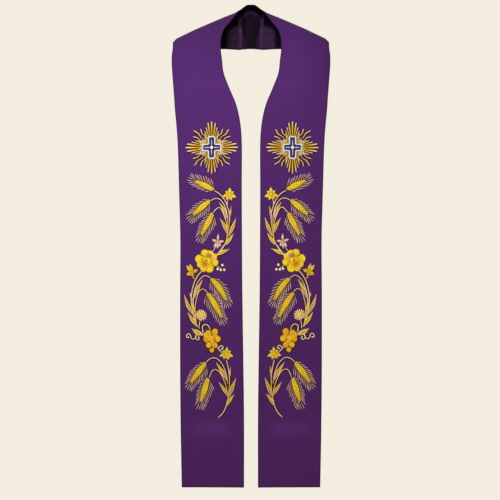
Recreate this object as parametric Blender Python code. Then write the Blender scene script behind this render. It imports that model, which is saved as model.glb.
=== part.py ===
"""Clerical stole in its worn form, hollow, with no wearer inside.

Two long bands joined by a short piece behind the neck, each with its own
lining. Metres, +Z up, the bands hang in front (-Y), the wearer's left is +X.
The origin is the middle of the neckline edge at the nape.
"""
import bpy
import bmesh
import math
from mathutils import Vector

# ---- sizes that drive the garment (metres) -------------------------------
CM = 0.01
FACE_WALL = 0.0012          # brocade with its interlining
LINING_WALL = 0.0010        # satin
PLY_GAP = 0.0003            # between face and lining
SEAM_GAP = 0.0003           # between pieces sewn edge to edge
LINING_INSET = 0.003        # lining stops short of the face's outer edges
SEAM_X = 2.4                # centimetres from centre back to the neck seam
RUMPLE = 0.0013             # how far the neck seams are drawn inwards
RUMPLE_PITCH = 1.9          # centimetres from fold to fold beside a seam
RUMPLE_REACH = 1.4          # centimetres from the seam where the folds fade
RUMPLE_LINES = (9.5, 3.0)   # cross lines where they start and are full
RUMPLE_EDGE = 0.25          # share of the width where the edge holds them flat

# rows of cells along each piece, and cells across it
NECK_ROWS = 10
SHOULDER_ROWS = 16
CHEST_ROWS = 15
FALL_ROWS = 30
ACROSS = 7

# ---- the body the cloth lies on, by distance from the middle (cm) --------
# ridge: the line where the cloth turns from back to front
# back, chest, hang: how far back or forward the cloth comes to rest
FORM_COLUMNS = ("x", "ridge_z", "ridge_y", "back_y", "chest_y", "hang_y")
FORM = (
    (0.0, 0.00, 0.00, 2.60, -16.5, -15.4),
    (0.9, -0.05, -0.03, 2.60, -16.4, -15.4),
    (1.7, -0.54, -0.15, 2.55, -16.3, -15.3),
    (2.4, -1.09, -0.35, 2.52, -16.2, -15.3),
    (3.2, -1.68, -0.75, 2.48, -16.1, -15.2),
    (4.9, -2.56, -1.25, 2.35, -15.9, -15.1),
    (7.0, -3.50, -2.00, 2.10, -15.6, -15.0),
    (10.0, -4.92, -3.10, 1.75, -15.2, -14.9),
    (13.2, -6.40, -4.05, 1.15, -14.8, -14.7),
    (16.3, -7.92, -4.75, 0.10, -14.3, -14.6),
    (18.4, -9.00, -5.25, -0.75, -13.9, -14.5),
    (19.4, -9.56, -5.40, -1.25, -13.7, -14.4),
    (20.0, -10.18, -5.50, -1.60, -13.5, -14.4),
    (20.6, -11.00, -5.60, -1.95, -13.4, -14.3),
)
NECK_ROUNDING = 0.12        # how fast the cloth turns over the ridge
SHOULDER_ROUNDING = 0.24
SHOULDER_BLEND = (5.0, 17.0)    # from the neck's rounding to the shoulder's
STEEPENING = 0.010
BACK_ROUNDING = 0.30
CHEST_Z = -38.0
HANG_Z = -95.0
LEVEL_FALL = (2.0, 4.0)         # where the cross lines turn level in front

# ---- where each cross line of the cloth starts and ends (cm) -------------
# drop is the height below the ridge, negative behind it
LINE_COLUMNS = ("place", "inner_x", "inner_drop", "outer_x", "outer_drop")
BACK_LINES = (
    ("centre back", 0.00, 0.00, 0.00, -11.40),
    ("beside centre", 1.20, 0.00, 1.22, -11.24),
    ("neck seam", 2.40, 0.00, 2.45, -10.43),
    ("back of neck", 2.95, 0.14, 5.00, -8.96),
    ("back shoulder", 3.60, 0.60, 9.30, -7.00),
    ("blade", 4.30, 1.22, 14.10, -4.75),
    ("behind shoulder", 5.00, 1.85, 18.00, -2.65),
    ("shoulder end", 5.75, 2.52, 20.02, -0.02),
)
# from here down every line lies in front, and is given by its heights
FRONT_COLUMNS = ("place", "inner_x", "inner_z", "outer_x", "outer_z")
FRONT_LINES = (
    ("front shoulder", 6.95, -6.95, 20.30, -12.30),
    ("collar bone", 7.72, -9.50, 20.47, -14.60),
    ("base of neck", 7.83, -12.40, 20.42, -17.00),
    ("upper chest", 7.45, -15.60, 20.22, -19.50),
    ("neckline turn", 6.97, -19.20, 20.00, -22.00),
    ("neckline slope", 5.45, -23.20, 19.75, -25.20),
    ("neckline end", 3.72, -27.50, 19.52, -28.60),
    ("chest", 2.72, -32.10, 19.15, -32.50),
    ("under chest", 2.32, -37.60, 18.81, -37.60),
    ("waist", 2.33, -49.00, 18.45, -49.00),
    ("hip", 2.28, -62.00, 18.10, -62.00),
    ("thigh", 2.20, -75.00, 18.18, -75.00),
    ("knee", 1.95, -93.00, 18.17, -93.00),
    ("shin", 1.77, -108.00, 18.03, -108.00),
    ("hem", 1.77, -125.35, 17.73, -125.35),
)
# slow waves down the hanging bands: turns per centimetre down and out
WAVE_COLUMNS = ("down", "out", "height")
WAVES = ((0.115, 0.12, 0.0013), (0.061, -0.20, 0.0009))
WAVES_FROM = -24.0
WAVES_FULL = -50.0
WAVES_INSIDE = 0.35         # their share at the inner edge, full at the outer
WAVES_ACROSS = (1.7, 18.4)
# soft creases on the front: middle and half sizes in cm, height in metres
CREASE_COLUMNS = ("x", "z", "slant", "half_length", "half_width", "height")
CREASES = (
    (11.0, -8.6, -24.0, 4.6, 0.9, -0.0016),
    (19.0, -11.8, -20.0, 2.0, 0.8, -0.0012),
    (10.2, -24.0, 12.0, 3.6, 2.4, 0.0012),
    (15.6, -35.2, 4.0, 4.0, 1.2, -0.0010),
    (14.6, -89.2, 3.0, 4.6, 1.7, -0.0016),
    (9.8, -113.2, 0.0, 7.5, 3.2, 0.0020),
)
SHOULDER_END = len(BACK_LINES) - 1
NECK_SEAM = 2
CHEST_LINE = SHOULDER_END + 7
HEM_LINE = SHOULDER_END + len(FRONT_LINES)

MATERIALS = (
    ("purple cloth", (0.092, 0.023, 0.153, 1.0), 0.62),
    ("dark satin", (0.022, 0.010, 0.030, 1.0), 0.42),
)


def spline(values, at):
    """Smooth value at a fractional place in a list of numbers."""
    last = len(values) - 1
    low = max(0, min(last - 1, int(math.floor(at))))
    f = at - low
    b = values[low]
    c = values[low + 1]
    a = values[low - 1] if low > 0 else 2.0 * b - c
    d = values[low + 2] if low + 2 <= last else 2.0 * c - b
    slope_b = 0.5 * (c - a)
    slope_c = 0.5 * (d - b)
    g = f * f
    h = g * f
    return ((2 * h - 3 * g + 1) * b + (h - 2 * g + f) * slope_b
            + (3 * g - 2 * h) * c + (h - g) * slope_c)


def blend(low, high, value):
    """Eased 0 to 1 as the value goes from low to high."""
    f = max(0.0, min(1.0, (value - low) / (high - low)))
    return f * f * (3.0 - 2.0 * f)


def form_slopes(column):
    """Slope of a form column at each of its rows."""
    slopes = []
    for i, row in enumerate(FORM):
        before = FORM[max(0, i - 1)]
        after = FORM[min(len(FORM) - 1, i + 1)]
        if i == 0:
            slopes.append(0.0)
        else:
            slopes.append((after[column] - before[column]) / (after[0] - before[0]))
    return slopes


SLOPES = {name: form_slopes(i) for i, name in enumerate(FORM_COLUMNS)}


def form(name, x):
    """A column of the form at any distance from the middle."""
    column = FORM_COLUMNS.index(name)
    x = abs(x)
    low = 0
    while low < len(FORM) - 2 and FORM[low + 1][0] < x:
        low += 1
    start = FORM[low]
    end = FORM[low + 1]
    span = end[0] - start[0]
    f = (x - start[0]) / span
    g = f * f
    h = g * f
    return ((2 * h - 3 * g + 1) * start[column]
            + (h - 2 * g + f) * span * SLOPES[name][low]
            + (3 * g - 2 * h) * end[column]
            + (h - g) * span * SLOPES[name][low + 1])


def to_fall(drop):
    """Signed square root of a drop, which runs evenly over the ridge."""
    return math.copysign(math.sqrt(abs(drop)), drop)


def edge_table(edge):
    """An edge's distances from the middle and its falls, line by line."""
    back = LINE_COLUMNS.index(edge + "_x")
    front = FRONT_COLUMNS.index(edge + "_x")
    distances = []
    falls = []
    for row in BACK_LINES:
        x, drop = row[back:back + 2]
        distances.append(x)
        falls.append(to_fall(drop))
    for row in FRONT_LINES:
        x, z = row[front:front + 2]
        distances.append(x)
        falls.append(to_fall(form("ridge_z", x) - z))
    return distances, falls


INNER_X, INNER_FALL = edge_table("inner")
OUTER_X, OUTER_FALL = edge_table("outer")


def mirrored(values, at, sign):
    """Spline value with the list carried on past centre back."""
    if at < 1.0:
        opened = [sign * values[1]] + list(values[:3])
        return spline(opened, at + 1.0)
    return spline(values, at)


def on_form(x, fall, height=None):
    """Point in centimetres on the body form."""
    ridge_z = form("ridge_z", x)
    ridge_y = form("ridge_y", x)
    z = ridge_z - fall * fall if height is None else height
    if fall >= 0.0:
        hang = blend(CHEST_Z, HANG_Z, z)
        rest = form("chest_y", x) * (1.0 - hang) + form("hang_y", x) * hang
        outward = blend(*SHOULDER_BLEND, abs(x))
        rounding = NECK_ROUNDING + (SHOULDER_ROUNDING - NECK_ROUNDING) * outward
        turn = math.tanh(rounding * fall + STEEPENING * fall ** 3)
    else:
        rest = form("back_y", x)
        turn = math.tanh(-BACK_ROUNDING * fall)
    return ridge_y + (rest - ridge_y) * turn, z


def flat_point(line, across, shift):
    """Point on the smooth form, before folds; across is 0 inside, 1 outside."""
    x0 = mirrored(INNER_X, line, -1.0) + shift
    x1 = mirrored(OUTER_X, line, -1.0) + shift
    f0 = mirrored(INNER_FALL, line, 1.0)
    f1 = mirrored(OUTER_FALL, line, 1.0)
    x = x0 + (x1 - x0) * across
    fall = f0 + (f1 - f0) * across
    z = form("ridge_z", x) - fall * fall
    level = blend(*LEVEL_FALL, fall)
    if level > 0.0:
        z0 = form("ridge_z", x0) - f0 * f0
        z1 = form("ridge_z", x1) - f1 * f1
        even = z0 + (z1 - z0) * across
        z = z * (1.0 - level) + even * level
        fall = math.sqrt(max(0.0, form("ridge_z", x) - z))
    y, z = on_form(x, fall, z)
    return Vector((x * CM, y * CM, z * CM))


def normal_at(line, across, shift):
    """Unit vector pointing away from the body."""
    step = 0.02
    low = max(0.0, across - step)
    high = min(1.0, across + step)
    outward = flat_point(line, high, shift) - flat_point(line, low, shift)
    ahead = min(line + step, float(HEM_LINE))
    behind = ahead - 2.0 * step
    if behind < 0.0:
        # at centre back the cloth is its own mirror image
        along = Vector((1.0, 0.0, 0.0))
    else:
        along = flat_point(ahead, across, shift) - flat_point(behind, across, shift)
    return along.cross(outward).normalized()


def crease(x, z, row):
    """Height of one soft crease at a place on the front."""
    fold = dict(zip(CREASE_COLUMNS, row))
    c = math.cos(math.radians(fold["slant"]))
    s = math.sin(math.radians(fold["slant"]))
    out = x - fold["x"]
    up = z - fold["z"]
    along = (out * c + up * s) / fold["half_length"]
    aside = (up * c - out * s) / fold["half_width"]
    return fold["height"] * math.exp(-along ** 2 - aside ** 2)


def folds(line, across, point):
    """Height of the soft folds above the smooth form."""
    x = abs(point.x) / CM
    z = point.z / CM
    # folds that the neck seams draw in, at the back only
    behind = blend(*RUMPLE_LINES, line) * blend(0.0, RUMPLE_EDGE, across)
    beside = math.cos(2.0 * math.pi * (x - SEAM_X) / RUMPLE_PITCH)
    fade = math.exp(-((x - SEAM_X) / RUMPLE_REACH) ** 2)
    height = -RUMPLE * beside * fade * behind
    if line < SHOULDER_END - 1.0:
        return height
    # waves and creases of the front
    hanging = blend(WAVES_FROM, WAVES_FULL, z)
    outward = WAVES_INSIDE + (1.0 - WAVES_INSIDE) * blend(*WAVES_ACROSS, x)
    for row in WAVES:
        wave = dict(zip(WAVE_COLUMNS, row))
        swing = math.sin(z * wave["down"] + x * wave["out"])
        height += wave["height"] * hanging * outward * swing
    front = blend(SHOULDER_END - 1.0, SHOULDER_END + 1.0, line)
    for row in CREASES:
        height += front * crease(x, z, row)
    return height


def cloth_point(line, across, shift, lift):
    """Point of the cloth, moved out by lift from the face's inner side."""
    base = flat_point(line, across, shift)
    return base + normal_at(line, across, shift) * (folds(line, across, base) + lift)


def line_list(first, last, rows):
    return [first + (last - first) * i / rows for i in range(rows + 1)]


def band_lines():
    """Cross lines of one band, close over the shoulder, wide in the fall."""
    lines = line_list(NECK_SEAM, SHOULDER_END, SHOULDER_ROWS)
    lines += line_list(SHOULDER_END, CHEST_LINE, CHEST_ROWS)[1:]
    lines += line_list(CHEST_LINE, HEM_LINE, FALL_ROWS)[1:]
    last_fall = (FRONT_LINES[-2][2] - FRONT_LINES[-1][2]) * CM
    lines.insert(len(lines) - 1, HEM_LINE - LINING_INSET / last_fall)
    return lines


def neck_lines():
    """Cross lines of the neck piece, negative on the wearer's right."""
    return line_list(-float(NECK_SEAM), float(NECK_SEAM), NECK_ROWS)


def across_list(line, shift):
    """Places across the cloth, with one at the lining's edge on each side."""
    inner = flat_point(line, 0.0, shift)
    outer = flat_point(line, 1.0, shift)
    trim = LINING_INSET / (outer - inner).length
    places = [trim + (1.0 - 2.0 * trim) * i / ACROSS for i in range(ACROSS + 1)]
    return [0.0] + places + [1.0]


def sheet_points(lines, side, lifts):
    """Grid of points for each lift; side 0 is the neck piece."""
    grids = [[] for lift in lifts]
    last = len(lines) - 1
    for number, line in enumerate(lines):
        place = abs(line)
        mirror = side if side else (-1.0 if line < 0.0 else 1.0)
        shift = 0.0
        if side and number == 0:
            shift = 0.5 * SEAM_GAP / CM
        if not side and number in (0, last):
            shift = -0.5 * SEAM_GAP / CM
        rows = [[] for lift in lifts]
        for across in across_list(place, shift):
            for row, lift in zip(rows, lifts):
                p = cloth_point(place, across, shift, lift)
                row.append(Vector((p.x * mirror, p.y, p.z)))
        for grid, row in zip(grids, rows):
            grid.append(row)
    return grids


def inside_edges(grid, hem):
    """The lining's share of a grid: no outer columns, and no hem row."""
    rows = grid[:-1] if hem else grid
    return [row[1:-1] for row in rows]


def add_wall(name, bottom, top, material):
    """Closed wall between two grids of points."""
    bm = bmesh.new()
    grids = []
    for grid in (bottom, top):
        grids.append([[bm.verts.new(p) for p in row] for row in grid])
    lower, upper = grids
    rows = len(lower)
    cols = len(lower[0])
    corners = []
    for r in range(rows - 1):
        for c in range(cols - 1):
            for grid in (upper, lower):
                corners.append((grid[r][c], grid[r + 1][c],
                                grid[r + 1][c + 1], grid[r][c + 1]))
        for c in (0, cols - 1):
            corners.append((lower[r][c], lower[r + 1][c],
                            upper[r + 1][c], upper[r][c]))
    for c in range(cols - 1):
        for r in (0, rows - 1):
            corners.append((lower[r][c], lower[r][c + 1],
                            upper[r][c + 1], upper[r][c]))
    for p, q, r, s in corners:
        bm.faces.new((p, q, r))
        bm.faces.new((p, r, s))
    bmesh.ops.recalc_face_normals(bm, faces=bm.faces)
    mesh = bpy.data.meshes.new(name)
    bm.to_mesh(mesh)
    bm.free()
    for polygon in mesh.polygons:
        polygon.use_smooth = True
    mesh.materials.append(material)
    obj = bpy.data.objects.new(name, mesh)
    bpy.context.scene.collection.objects.link(obj)
    return obj


def make_material(name, colour, roughness):
    material = bpy.data.materials.new(name)
    material.use_nodes = True
    shader = material.node_tree.nodes["Principled BSDF"]
    shader.inputs["Base Color"].default_value = colour
    shader.inputs["Roughness"].default_value = roughness
    material.diffuse_color = colour
    return material


def build():
    for obj in list(bpy.data.objects):
        bpy.data.objects.remove(obj, do_unlink=True)
    lifts = (-PLY_GAP - LINING_WALL, -PLY_GAP, 0.0, FACE_WALL)
    pieces = (
        ("band_right", "lining_right", band_lines(), -1.0, True),
        ("band_left", "lining_left", band_lines(), 1.0, True),
        ("neck_piece", "lining_neck", neck_lines(), 0.0, False),
    )
    for face, lining, lines, side, hem in pieces:
        low, mid, base, top = sheet_points(lines, side, lifts)
        purple = make_material("purple cloth of " + face, *MATERIALS[0][1:])
        satin = make_material("dark satin of " + lining, *MATERIALS[1][1:])
        add_wall(face, base, top, purple)
        add_wall(lining, inside_edges(low, hem), inside_edges(mid, hem), satin)


build()
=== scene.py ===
"""Purple clerical stole in its worn form, embroidered on both bands.

Metres, +Z up, the bands hang in front (-Y) and the wearer's left is +X.
The tables of the cut and of the embroidery are in centimetres: x or a is the
distance from the middle, z or h the height, with 0 at the nape.
"""
import math
import random

import bmesh
import bpy
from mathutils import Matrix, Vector, noise


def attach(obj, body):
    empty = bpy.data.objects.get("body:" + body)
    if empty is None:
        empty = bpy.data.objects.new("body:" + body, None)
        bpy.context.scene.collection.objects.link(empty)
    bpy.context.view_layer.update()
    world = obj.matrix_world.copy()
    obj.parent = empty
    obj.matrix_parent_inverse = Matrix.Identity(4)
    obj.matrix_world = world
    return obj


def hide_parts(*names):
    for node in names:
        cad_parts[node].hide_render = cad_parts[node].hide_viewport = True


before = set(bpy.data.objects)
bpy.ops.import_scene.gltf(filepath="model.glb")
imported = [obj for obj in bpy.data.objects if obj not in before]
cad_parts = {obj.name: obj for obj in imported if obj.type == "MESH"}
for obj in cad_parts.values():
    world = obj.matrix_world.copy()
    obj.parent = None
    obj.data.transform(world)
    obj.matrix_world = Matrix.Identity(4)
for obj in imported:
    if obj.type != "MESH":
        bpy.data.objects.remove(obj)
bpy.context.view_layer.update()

# ---- sizes ----------------------------------------------------------------
CM = 0.01
FACE_WALL = 0.0012
LINING_WALL = 0.0010
PLY_GAP = 0.0003
LINING_INSET = 0.002
FOLDED_EDGE = 0.00042        # rounding of the face's turned edges
LINING_EDGE = 0.00030
EDGE_ANGLE = 50.0            # edges sharper than this are rounded
TURNING = 0.00022            # the turned-in allowance, felt under the face
TURNING_WIDTH = (1.2, 1.5)   # where it starts to thin and ends (cm)

# cells of the cloth pieces' grids
BAND_CELLS = (36, 330)       # across and along
NECK_CELLS = (44, 60)
CROWDING = 1.28              # rows of cells lie closer near the neck
LENGTH_STEPS = 400           # steps in which lengths are measured

# ---- the body the cloth lies on, by distance from the middle (cm) ----------
FORM_COLUMNS = ("x", "ridge_z", "ridge_y", "back_y", "chest_y", "hang_y")
FORM = (
    (0.0, 0.00, 0.00, 2.60, -16.5, -15.4),
    (0.9, -0.05, -0.03, 2.60, -16.4, -15.4),
    (1.7, -0.54, -0.15, 2.55, -16.3, -15.3),
    (2.4, -1.09, -0.35, 2.52, -16.2, -15.3),
    (3.2, -1.68, -0.75, 2.48, -16.1, -15.2),
    (4.9, -2.56, -1.25, 2.35, -15.9, -15.1),
    (7.0, -3.50, -2.00, 2.10, -15.6, -15.0),
    (10.0, -4.92, -3.10, 1.75, -15.2, -14.9),
    (13.2, -6.40, -4.05, 1.15, -14.8, -14.7),
    (16.3, -7.92, -4.75, 0.10, -14.3, -14.6),
    (18.4, -9.00, -5.25, -0.75, -13.9, -14.5),
    (19.4, -9.56, -5.40, -1.25, -13.7, -14.4),
    (20.0, -10.18, -5.50, -1.60, -13.5, -14.4),
    (20.6, -11.00, -5.60, -1.95, -13.4, -14.3),
)
# how soon the cloth turns down from the ridge: beside the neck, over the shoulders
# (and between which distances it goes from one to the other), and behind
NECK_ROUNDING = 0.12
SHOULDER_ROUNDING = 0.24
SHOULDER_BLEND = (5.0, 17.0)
STEEPENING = 0.010           # and how much sooner further down
BACK_ROUNDING = 0.30
CHEST_Z = -38.0              # from here the bands leave the chest
HANG_Z = -95.0               # and hang free
LEVEL_FALL = (2.0, 4.0)      # where cross lines turn level

# ---- where each cross line starts and ends (cm) -----------------------------
# place, inner x, inner drop, outer x, outer drop; a drop is below the ridge
BACK_LINES = (
    ("centre back", 0.00, 0.00, 0.00, -11.40),
    ("beside centre", 1.20, 0.00, 1.22, -11.24),
    ("neck seam", 2.40, 0.00, 2.45, -10.43),
    ("back of neck", 2.95, 0.14, 5.00, -8.96),
    ("back shoulder", 3.60, 0.60, 9.30, -7.00),
    ("blade", 4.30, 1.22, 14.10, -4.75),
    ("behind shoulder", 5.00, 1.85, 18.00, -2.65),
    ("shoulder end", 5.75, 2.52, 20.02, -0.02),
)
# place, inner x, inner z, outer x, outer z
FRONT_LINES = (
    ("front shoulder", 6.95, -6.95, 20.30, -12.30),
    ("collar bone", 7.72, -9.50, 20.47, -14.60),
    ("base of neck", 7.83, -12.40, 20.42, -17.00),
    ("upper chest", 7.45, -15.60, 20.22, -19.50),
    ("neckline turn", 6.97, -19.20, 20.00, -22.00),
    ("neckline slope", 5.45, -23.20, 19.75, -25.20),
    ("neckline end", 3.72, -27.50, 19.52, -28.60),
    ("chest", 2.72, -32.10, 19.15, -32.50),
    ("under chest", 2.32, -37.60, 18.81, -37.60),
    ("waist", 2.33, -49.00, 18.45, -49.00),
    ("hip", 2.28, -62.00, 18.10, -62.00),
    ("thigh", 2.20, -75.00, 18.18, -75.00),
    ("knee", 1.95, -93.00, 18.17, -93.00),
    ("shin", 1.77, -108.00, 18.03, -108.00),
    ("hem", 1.77, -125.35, 17.73, -125.35),
)
NECK_SEAM = 2
SHOULDER_END = len(BACK_LINES) - 1
HEM_LINE = SHOULDER_END + len(FRONT_LINES)

# ---- folds -------------------------------------------------------------------
# gathers beside the neck seam: height in metres, spacing and reach in cm
SEAM_X = 2.4
RUMPLE = 0.0013
RUMPLE_PITCH = 1.9
RUMPLE_REACH = 1.4
RUMPLE_LINES = (9.5, 3.0)    # cross lines where they start and are full
RUMPLE_EDGE = 0.25           # share of the width where the edge holds them flat
# slow waves of the hanging bands: radians per cm down and out, height in metres
WAVES = ((0.115, 0.12, 0.0013), (0.061, -0.20, 0.0009))
WAVES_FROM = -24.0
WAVES_FULL = -50.0
WAVES_INSIDE = 0.35          # share of their height at the inner edge
WAVES_ACROSS = (1.7, 18.4)
CREASE_REACH = 3.0           # half lengths past which a crease is not felt
# creases: middle x and z, slant in degrees, half length and width, height (m)
FRONT_CREASES = (
    (11.0, -8.6, -24.0, 4.6, 0.9, -0.0016),
    (19.0, -11.8, -20.0, 2.0, 0.8, -0.0012),
    (10.2, -24.0, 12.0, 3.6, 2.4, 0.0012),
    (15.6, -35.2, 4.0, 4.0, 1.2, -0.0010),
    (14.6, -89.2, 3.0, 4.6, 1.7, -0.0016),
    (9.8, -113.2, 0.0, 7.5, 3.2, 0.0020),
    (15.2, -14.4, -28.0, 3.4, 0.7, -0.0006),
    (17.6, -18.6, -62.0, 2.6, 0.6, 0.0006),
    (9.4, -17.8, 58.0, 3.0, 0.6, -0.0006),
    (12.8, -28.4, -10.0, 4.2, 0.8, -0.0005),
    (5.2, -33.0, 62.0, 2.6, 0.5, 0.0005),
    (16.9, -43.4, 8.0, 2.4, 0.8, 0.0006),
    (4.3, -45.8, -12.0, 2.0, 0.7, -0.0005),
    (17.0, -63.8, -80.0, 4.2, 0.6, -0.0006),
    (4.0, -73.5, 84.0, 4.8, 0.5, 0.0005),
    (5.1, -86.0, 14.0, 2.6, 0.7, -0.0006),
    (3.9, -106.5, -6.0, 2.4, 0.9, -0.0006),
    (14.4, -107.4, 5.0, 3.4, 1.0, -0.0007),
    (12.6, -120.2, -3.0, 4.6, 1.0, -0.0008),
    (5.4, -121.6, 78.0, 3.2, 0.6, 0.0006),
)
# the same, behind the shoulders and neck
BACK_CREASES = (
    (8.6, -7.4, -30.0, 3.2, 0.7, -0.0010),
    (12.6, -9.3, -26.0, 3.8, 0.8, 0.0010),
    (16.2, -10.6, -40.0, 2.4, 0.6, -0.0008),
    (6.0, -4.9, -22.0, 2.2, 0.5, 0.0007),
    (5.1, -9.9, -58.0, 2.4, 0.6, -0.0008),
    (0.0, -7.6, 90.0, 3.0, 0.8, -0.0006),
)
# raised tucks of the lining at the nape (cm): distance from the middle at the top
# and at the lower edge, height of the top, width, height of the tuck
TUCKS = ((2.70, 1.85, -5.6, 0.15, 0.08), (3.25, 2.75, -2.7, 0.17, 0.10))
TUCKS_END = -11.4
TUCK_SOFT = (0.7, 0.8)       # how softly they start and end
NAPE_Y = -5.0                # what lies behind this belongs to the nape
# painted shade and light of the lining at the nape: a painted shadow high inside the neck, its
# lit panel and the lit part beside it, lighter tucks, and the plain colour away from the nape
# (cm)
PANEL = (3.1, 2.0)           # half width at the top and at the lower edge
PANEL_NARROWS = 4.0          # how far down it starts to narrow
PANEL_TOP = (-1.2, 0.25)     # height of its top and how it falls away beside the middle
PANEL_SOFT = 0.5             # softness of its outline
PANEL_RIM = 1.6              # width of the lighter rim
SIDE_TOP = (5.0, 6.1)        # how far down the lit part beside it starts and is full
SIDE_DIP = (3.3, 0.12)       # where that line starts to dip outwards, and how much
SIDE_SOFT = 0.6
SIDE_END = (5.6, 6.9)        # where the lit part beside it fades
BEYOND_NAPE = (3.0, 9.0)     # where the plain shade begins, forward of the nape
BESIDE_NAPE = (9.0, 12.0)    # and beside it
PLAIN_SHADE = 1.5
DEEP_SHADE = 0.06
PANEL_SHADE = 0.30
RIM_SHADE = 0.80
SIDE_SHADE = 1.35
TUCK_SHADE = 0.9             # how much lighter the tucks are
MOTTLE = 0.45                # unevenness of the shade at the nape
MOTTLE_SIZE = (1.3, 0.9)     # waves per centimetre across and down
# painted shade along the face's turned edges and hem, deepest at the lower edge behind the neck
EDGE_SHADE = 0.55            # darkening of the face along its turned edges
NAPE_EDGE = 0.2              # the same, behind the neck
EDGE_WIDTH = 0.40            # centimetres
# painted highlights, lighter patches of the face where it bellies towards the light: across,
# height, half width, half height, strength
PAINTED_SHEEN = ((10.0, -110.2, 5.5, 2.2, 0.32), (10.2, -22.0, 1.8, 1.6, 0.12))
RIPPLE = 0.00022             # faint unevenness of the cloth
RIPPLE_SIZE = (0.32, 0.13)   # waves per centimetre across and down

# ---- the stage ------------------------------------------------------------------
CAMERA_PLACE = (-0.00256, -5.15, -0.6455)
SENSOR = 36.0
FRAME_WIDTH = 1.28           # metres across the view at the bands
BANDS_Y = -0.15
BACKDROP = (0.90, 0.85, 0.74, 1)
AMBIENT = (1.0, 0.86, 0.46, 1)
AMBIENT_STRENGTH = 0.40
FLOOR_Z = -1.50
FLOOR_RADIUS = 1.25
FLOOR_COLOUR = (0.80, 0.77, 0.70, 1)
# lights: name, place, target, width and height, power, colour
LIGHTS = (
    ("key", (-0.5, -1.55, 0.2), (0.0, -0.1, -0.05), (0.8, 0.6), 32.5, (0.80, 0.88, 1.0)),
    ("fill", (1.3, -2.4, 0.3), (0.0, -0.1, -0.5), (1.0, 1.2), 4.0, (1.0, 0.95, 0.88)),
    ("back", (0.3, 2.2, 0.9), (0.0, 0.0, -0.5), (1.6, 1.4), 34.0, (1.0, 0.98, 0.95)),
)


# ---- form of the cloth ----------------------------------------------------------
def cubic(f, start, end, start_slope, end_slope):
    """Value at a part f of the way, leaving and arriving with the given slopes."""
    g = f * f
    h = g * f
    return ((2 * h - 3 * g + 1) * start + (h - 2 * g + f) * start_slope
            + (3 * g - 2 * h) * end + (h - g) * end_slope)


def spline(values, at):
    """Smooth value at a fractional place in a list of numbers."""
    last = len(values) - 1
    low = max(0, min(last - 1, int(math.floor(at))))
    b = values[low]
    c = values[low + 1]
    a = values[low - 1] if low > 0 else 2.0 * b - c
    d = values[low + 2] if low + 2 <= last else 2.0 * c - b
    return cubic(at - low, b, c, 0.5 * (c - a), 0.5 * (d - b))


def blend(low, high, value):
    """Eased 0 to 1 as the value goes from low to high."""
    f = max(0.0, min(1.0, (value - low) / (high - low)))
    return f * f * (3.0 - 2.0 * f)


def form_slopes(column):
    """Slope of a form column at each of its rows."""
    slopes = [0.0]
    for i in range(1, len(FORM)):
        before = FORM[i - 1]
        after = FORM[min(len(FORM) - 1, i + 1)]
        slopes.append((after[column] - before[column]) / (after[0] - before[0]))
    return slopes


COLUMN = {name: i for i, name in enumerate(FORM_COLUMNS)}
SLOPES = {name: form_slopes(i) for name, i in COLUMN.items()}


def form(name, x):
    """A column of the form at any distance from the middle."""
    column = COLUMN[name]
    x = abs(x)
    low = 0
    while low < len(FORM) - 2 and FORM[low + 1][0] < x:
        low += 1
    start = FORM[low]
    end = FORM[low + 1]
    span = end[0] - start[0]
    return cubic((x - start[0]) / span, start[column], end[column],
                 span * SLOPES[name][low], span * SLOPES[name][low + 1])


def to_fall(drop):
    """Signed square root of a drop, which runs evenly over the ridge."""
    return math.copysign(math.sqrt(abs(drop)), drop)


def edge_tables():
    """Inner and outer edge, as distance from the middle and fall."""
    rows = [(ix, to_fall(a), ox, to_fall(b)) for _, ix, a, ox, b in BACK_LINES]
    for _, ix, iz, ox, oz in FRONT_LINES:
        inner_fall = to_fall(form("ridge_z", ix) - iz)
        outer_fall = to_fall(form("ridge_z", ox) - oz)
        rows.append((ix, inner_fall, ox, outer_fall))
    return [list(column) for column in zip(*rows)]


INNER_X, INNER_FALL, OUTER_X, OUTER_FALL = edge_tables()


def carried_over(values, at, sign):
    """Spline value with the list carried on past centre back."""
    if at < 1.0:
        return spline([sign * values[1]] + values[:3], at + 1.0)
    return spline(values, at)


def form_y(x, fall, z):
    """How far forward or back the form stands."""
    ridge_y = form("ridge_y", x)
    if fall >= 0.0:
        hang = blend(CHEST_Z, HANG_Z, z)
        rest = form("chest_y", x) * (1.0 - hang) + form("hang_y", x) * hang
        outward = blend(*SHOULDER_BLEND, abs(x))
        rounding = NECK_ROUNDING + (SHOULDER_ROUNDING - NECK_ROUNDING) * outward
        turn = math.tanh(rounding * fall + STEEPENING * fall ** 3)
    else:
        rest = form("back_y", x)
        turn = math.tanh(-BACK_ROUNDING * fall)
    return ridge_y + (rest - ridge_y) * turn


def flat_point(line, across):
    """Point before folds; across is 0 at the inner edge and 1 at the outer."""
    x0 = carried_over(INNER_X, line, -1.0)
    x1 = carried_over(OUTER_X, line, -1.0)
    f0 = carried_over(INNER_FALL, line, 1.0)
    f1 = carried_over(OUTER_FALL, line, 1.0)
    x = x0 + (x1 - x0) * across
    fall = f0 + (f1 - f0) * across
    z = form("ridge_z", x) - fall * fall
    level = blend(*LEVEL_FALL, fall)
    if level > 0.0:
        z0 = form("ridge_z", x0) - f0 * f0
        z1 = form("ridge_z", x1) - f1 * f1
        z = z * (1.0 - level) + (z0 + (z1 - z0) * across) * level
        fall = math.sqrt(max(0.0, form("ridge_z", x) - z))
    return Vector((x, form_y(x, fall, z), z)) * CM


def sided_point(line, across):
    """The same, with negative lines on the wearer's right."""
    point = flat_point(abs(line), across)
    if line < 0.0:
        point.x = -point.x
    return point


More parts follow.
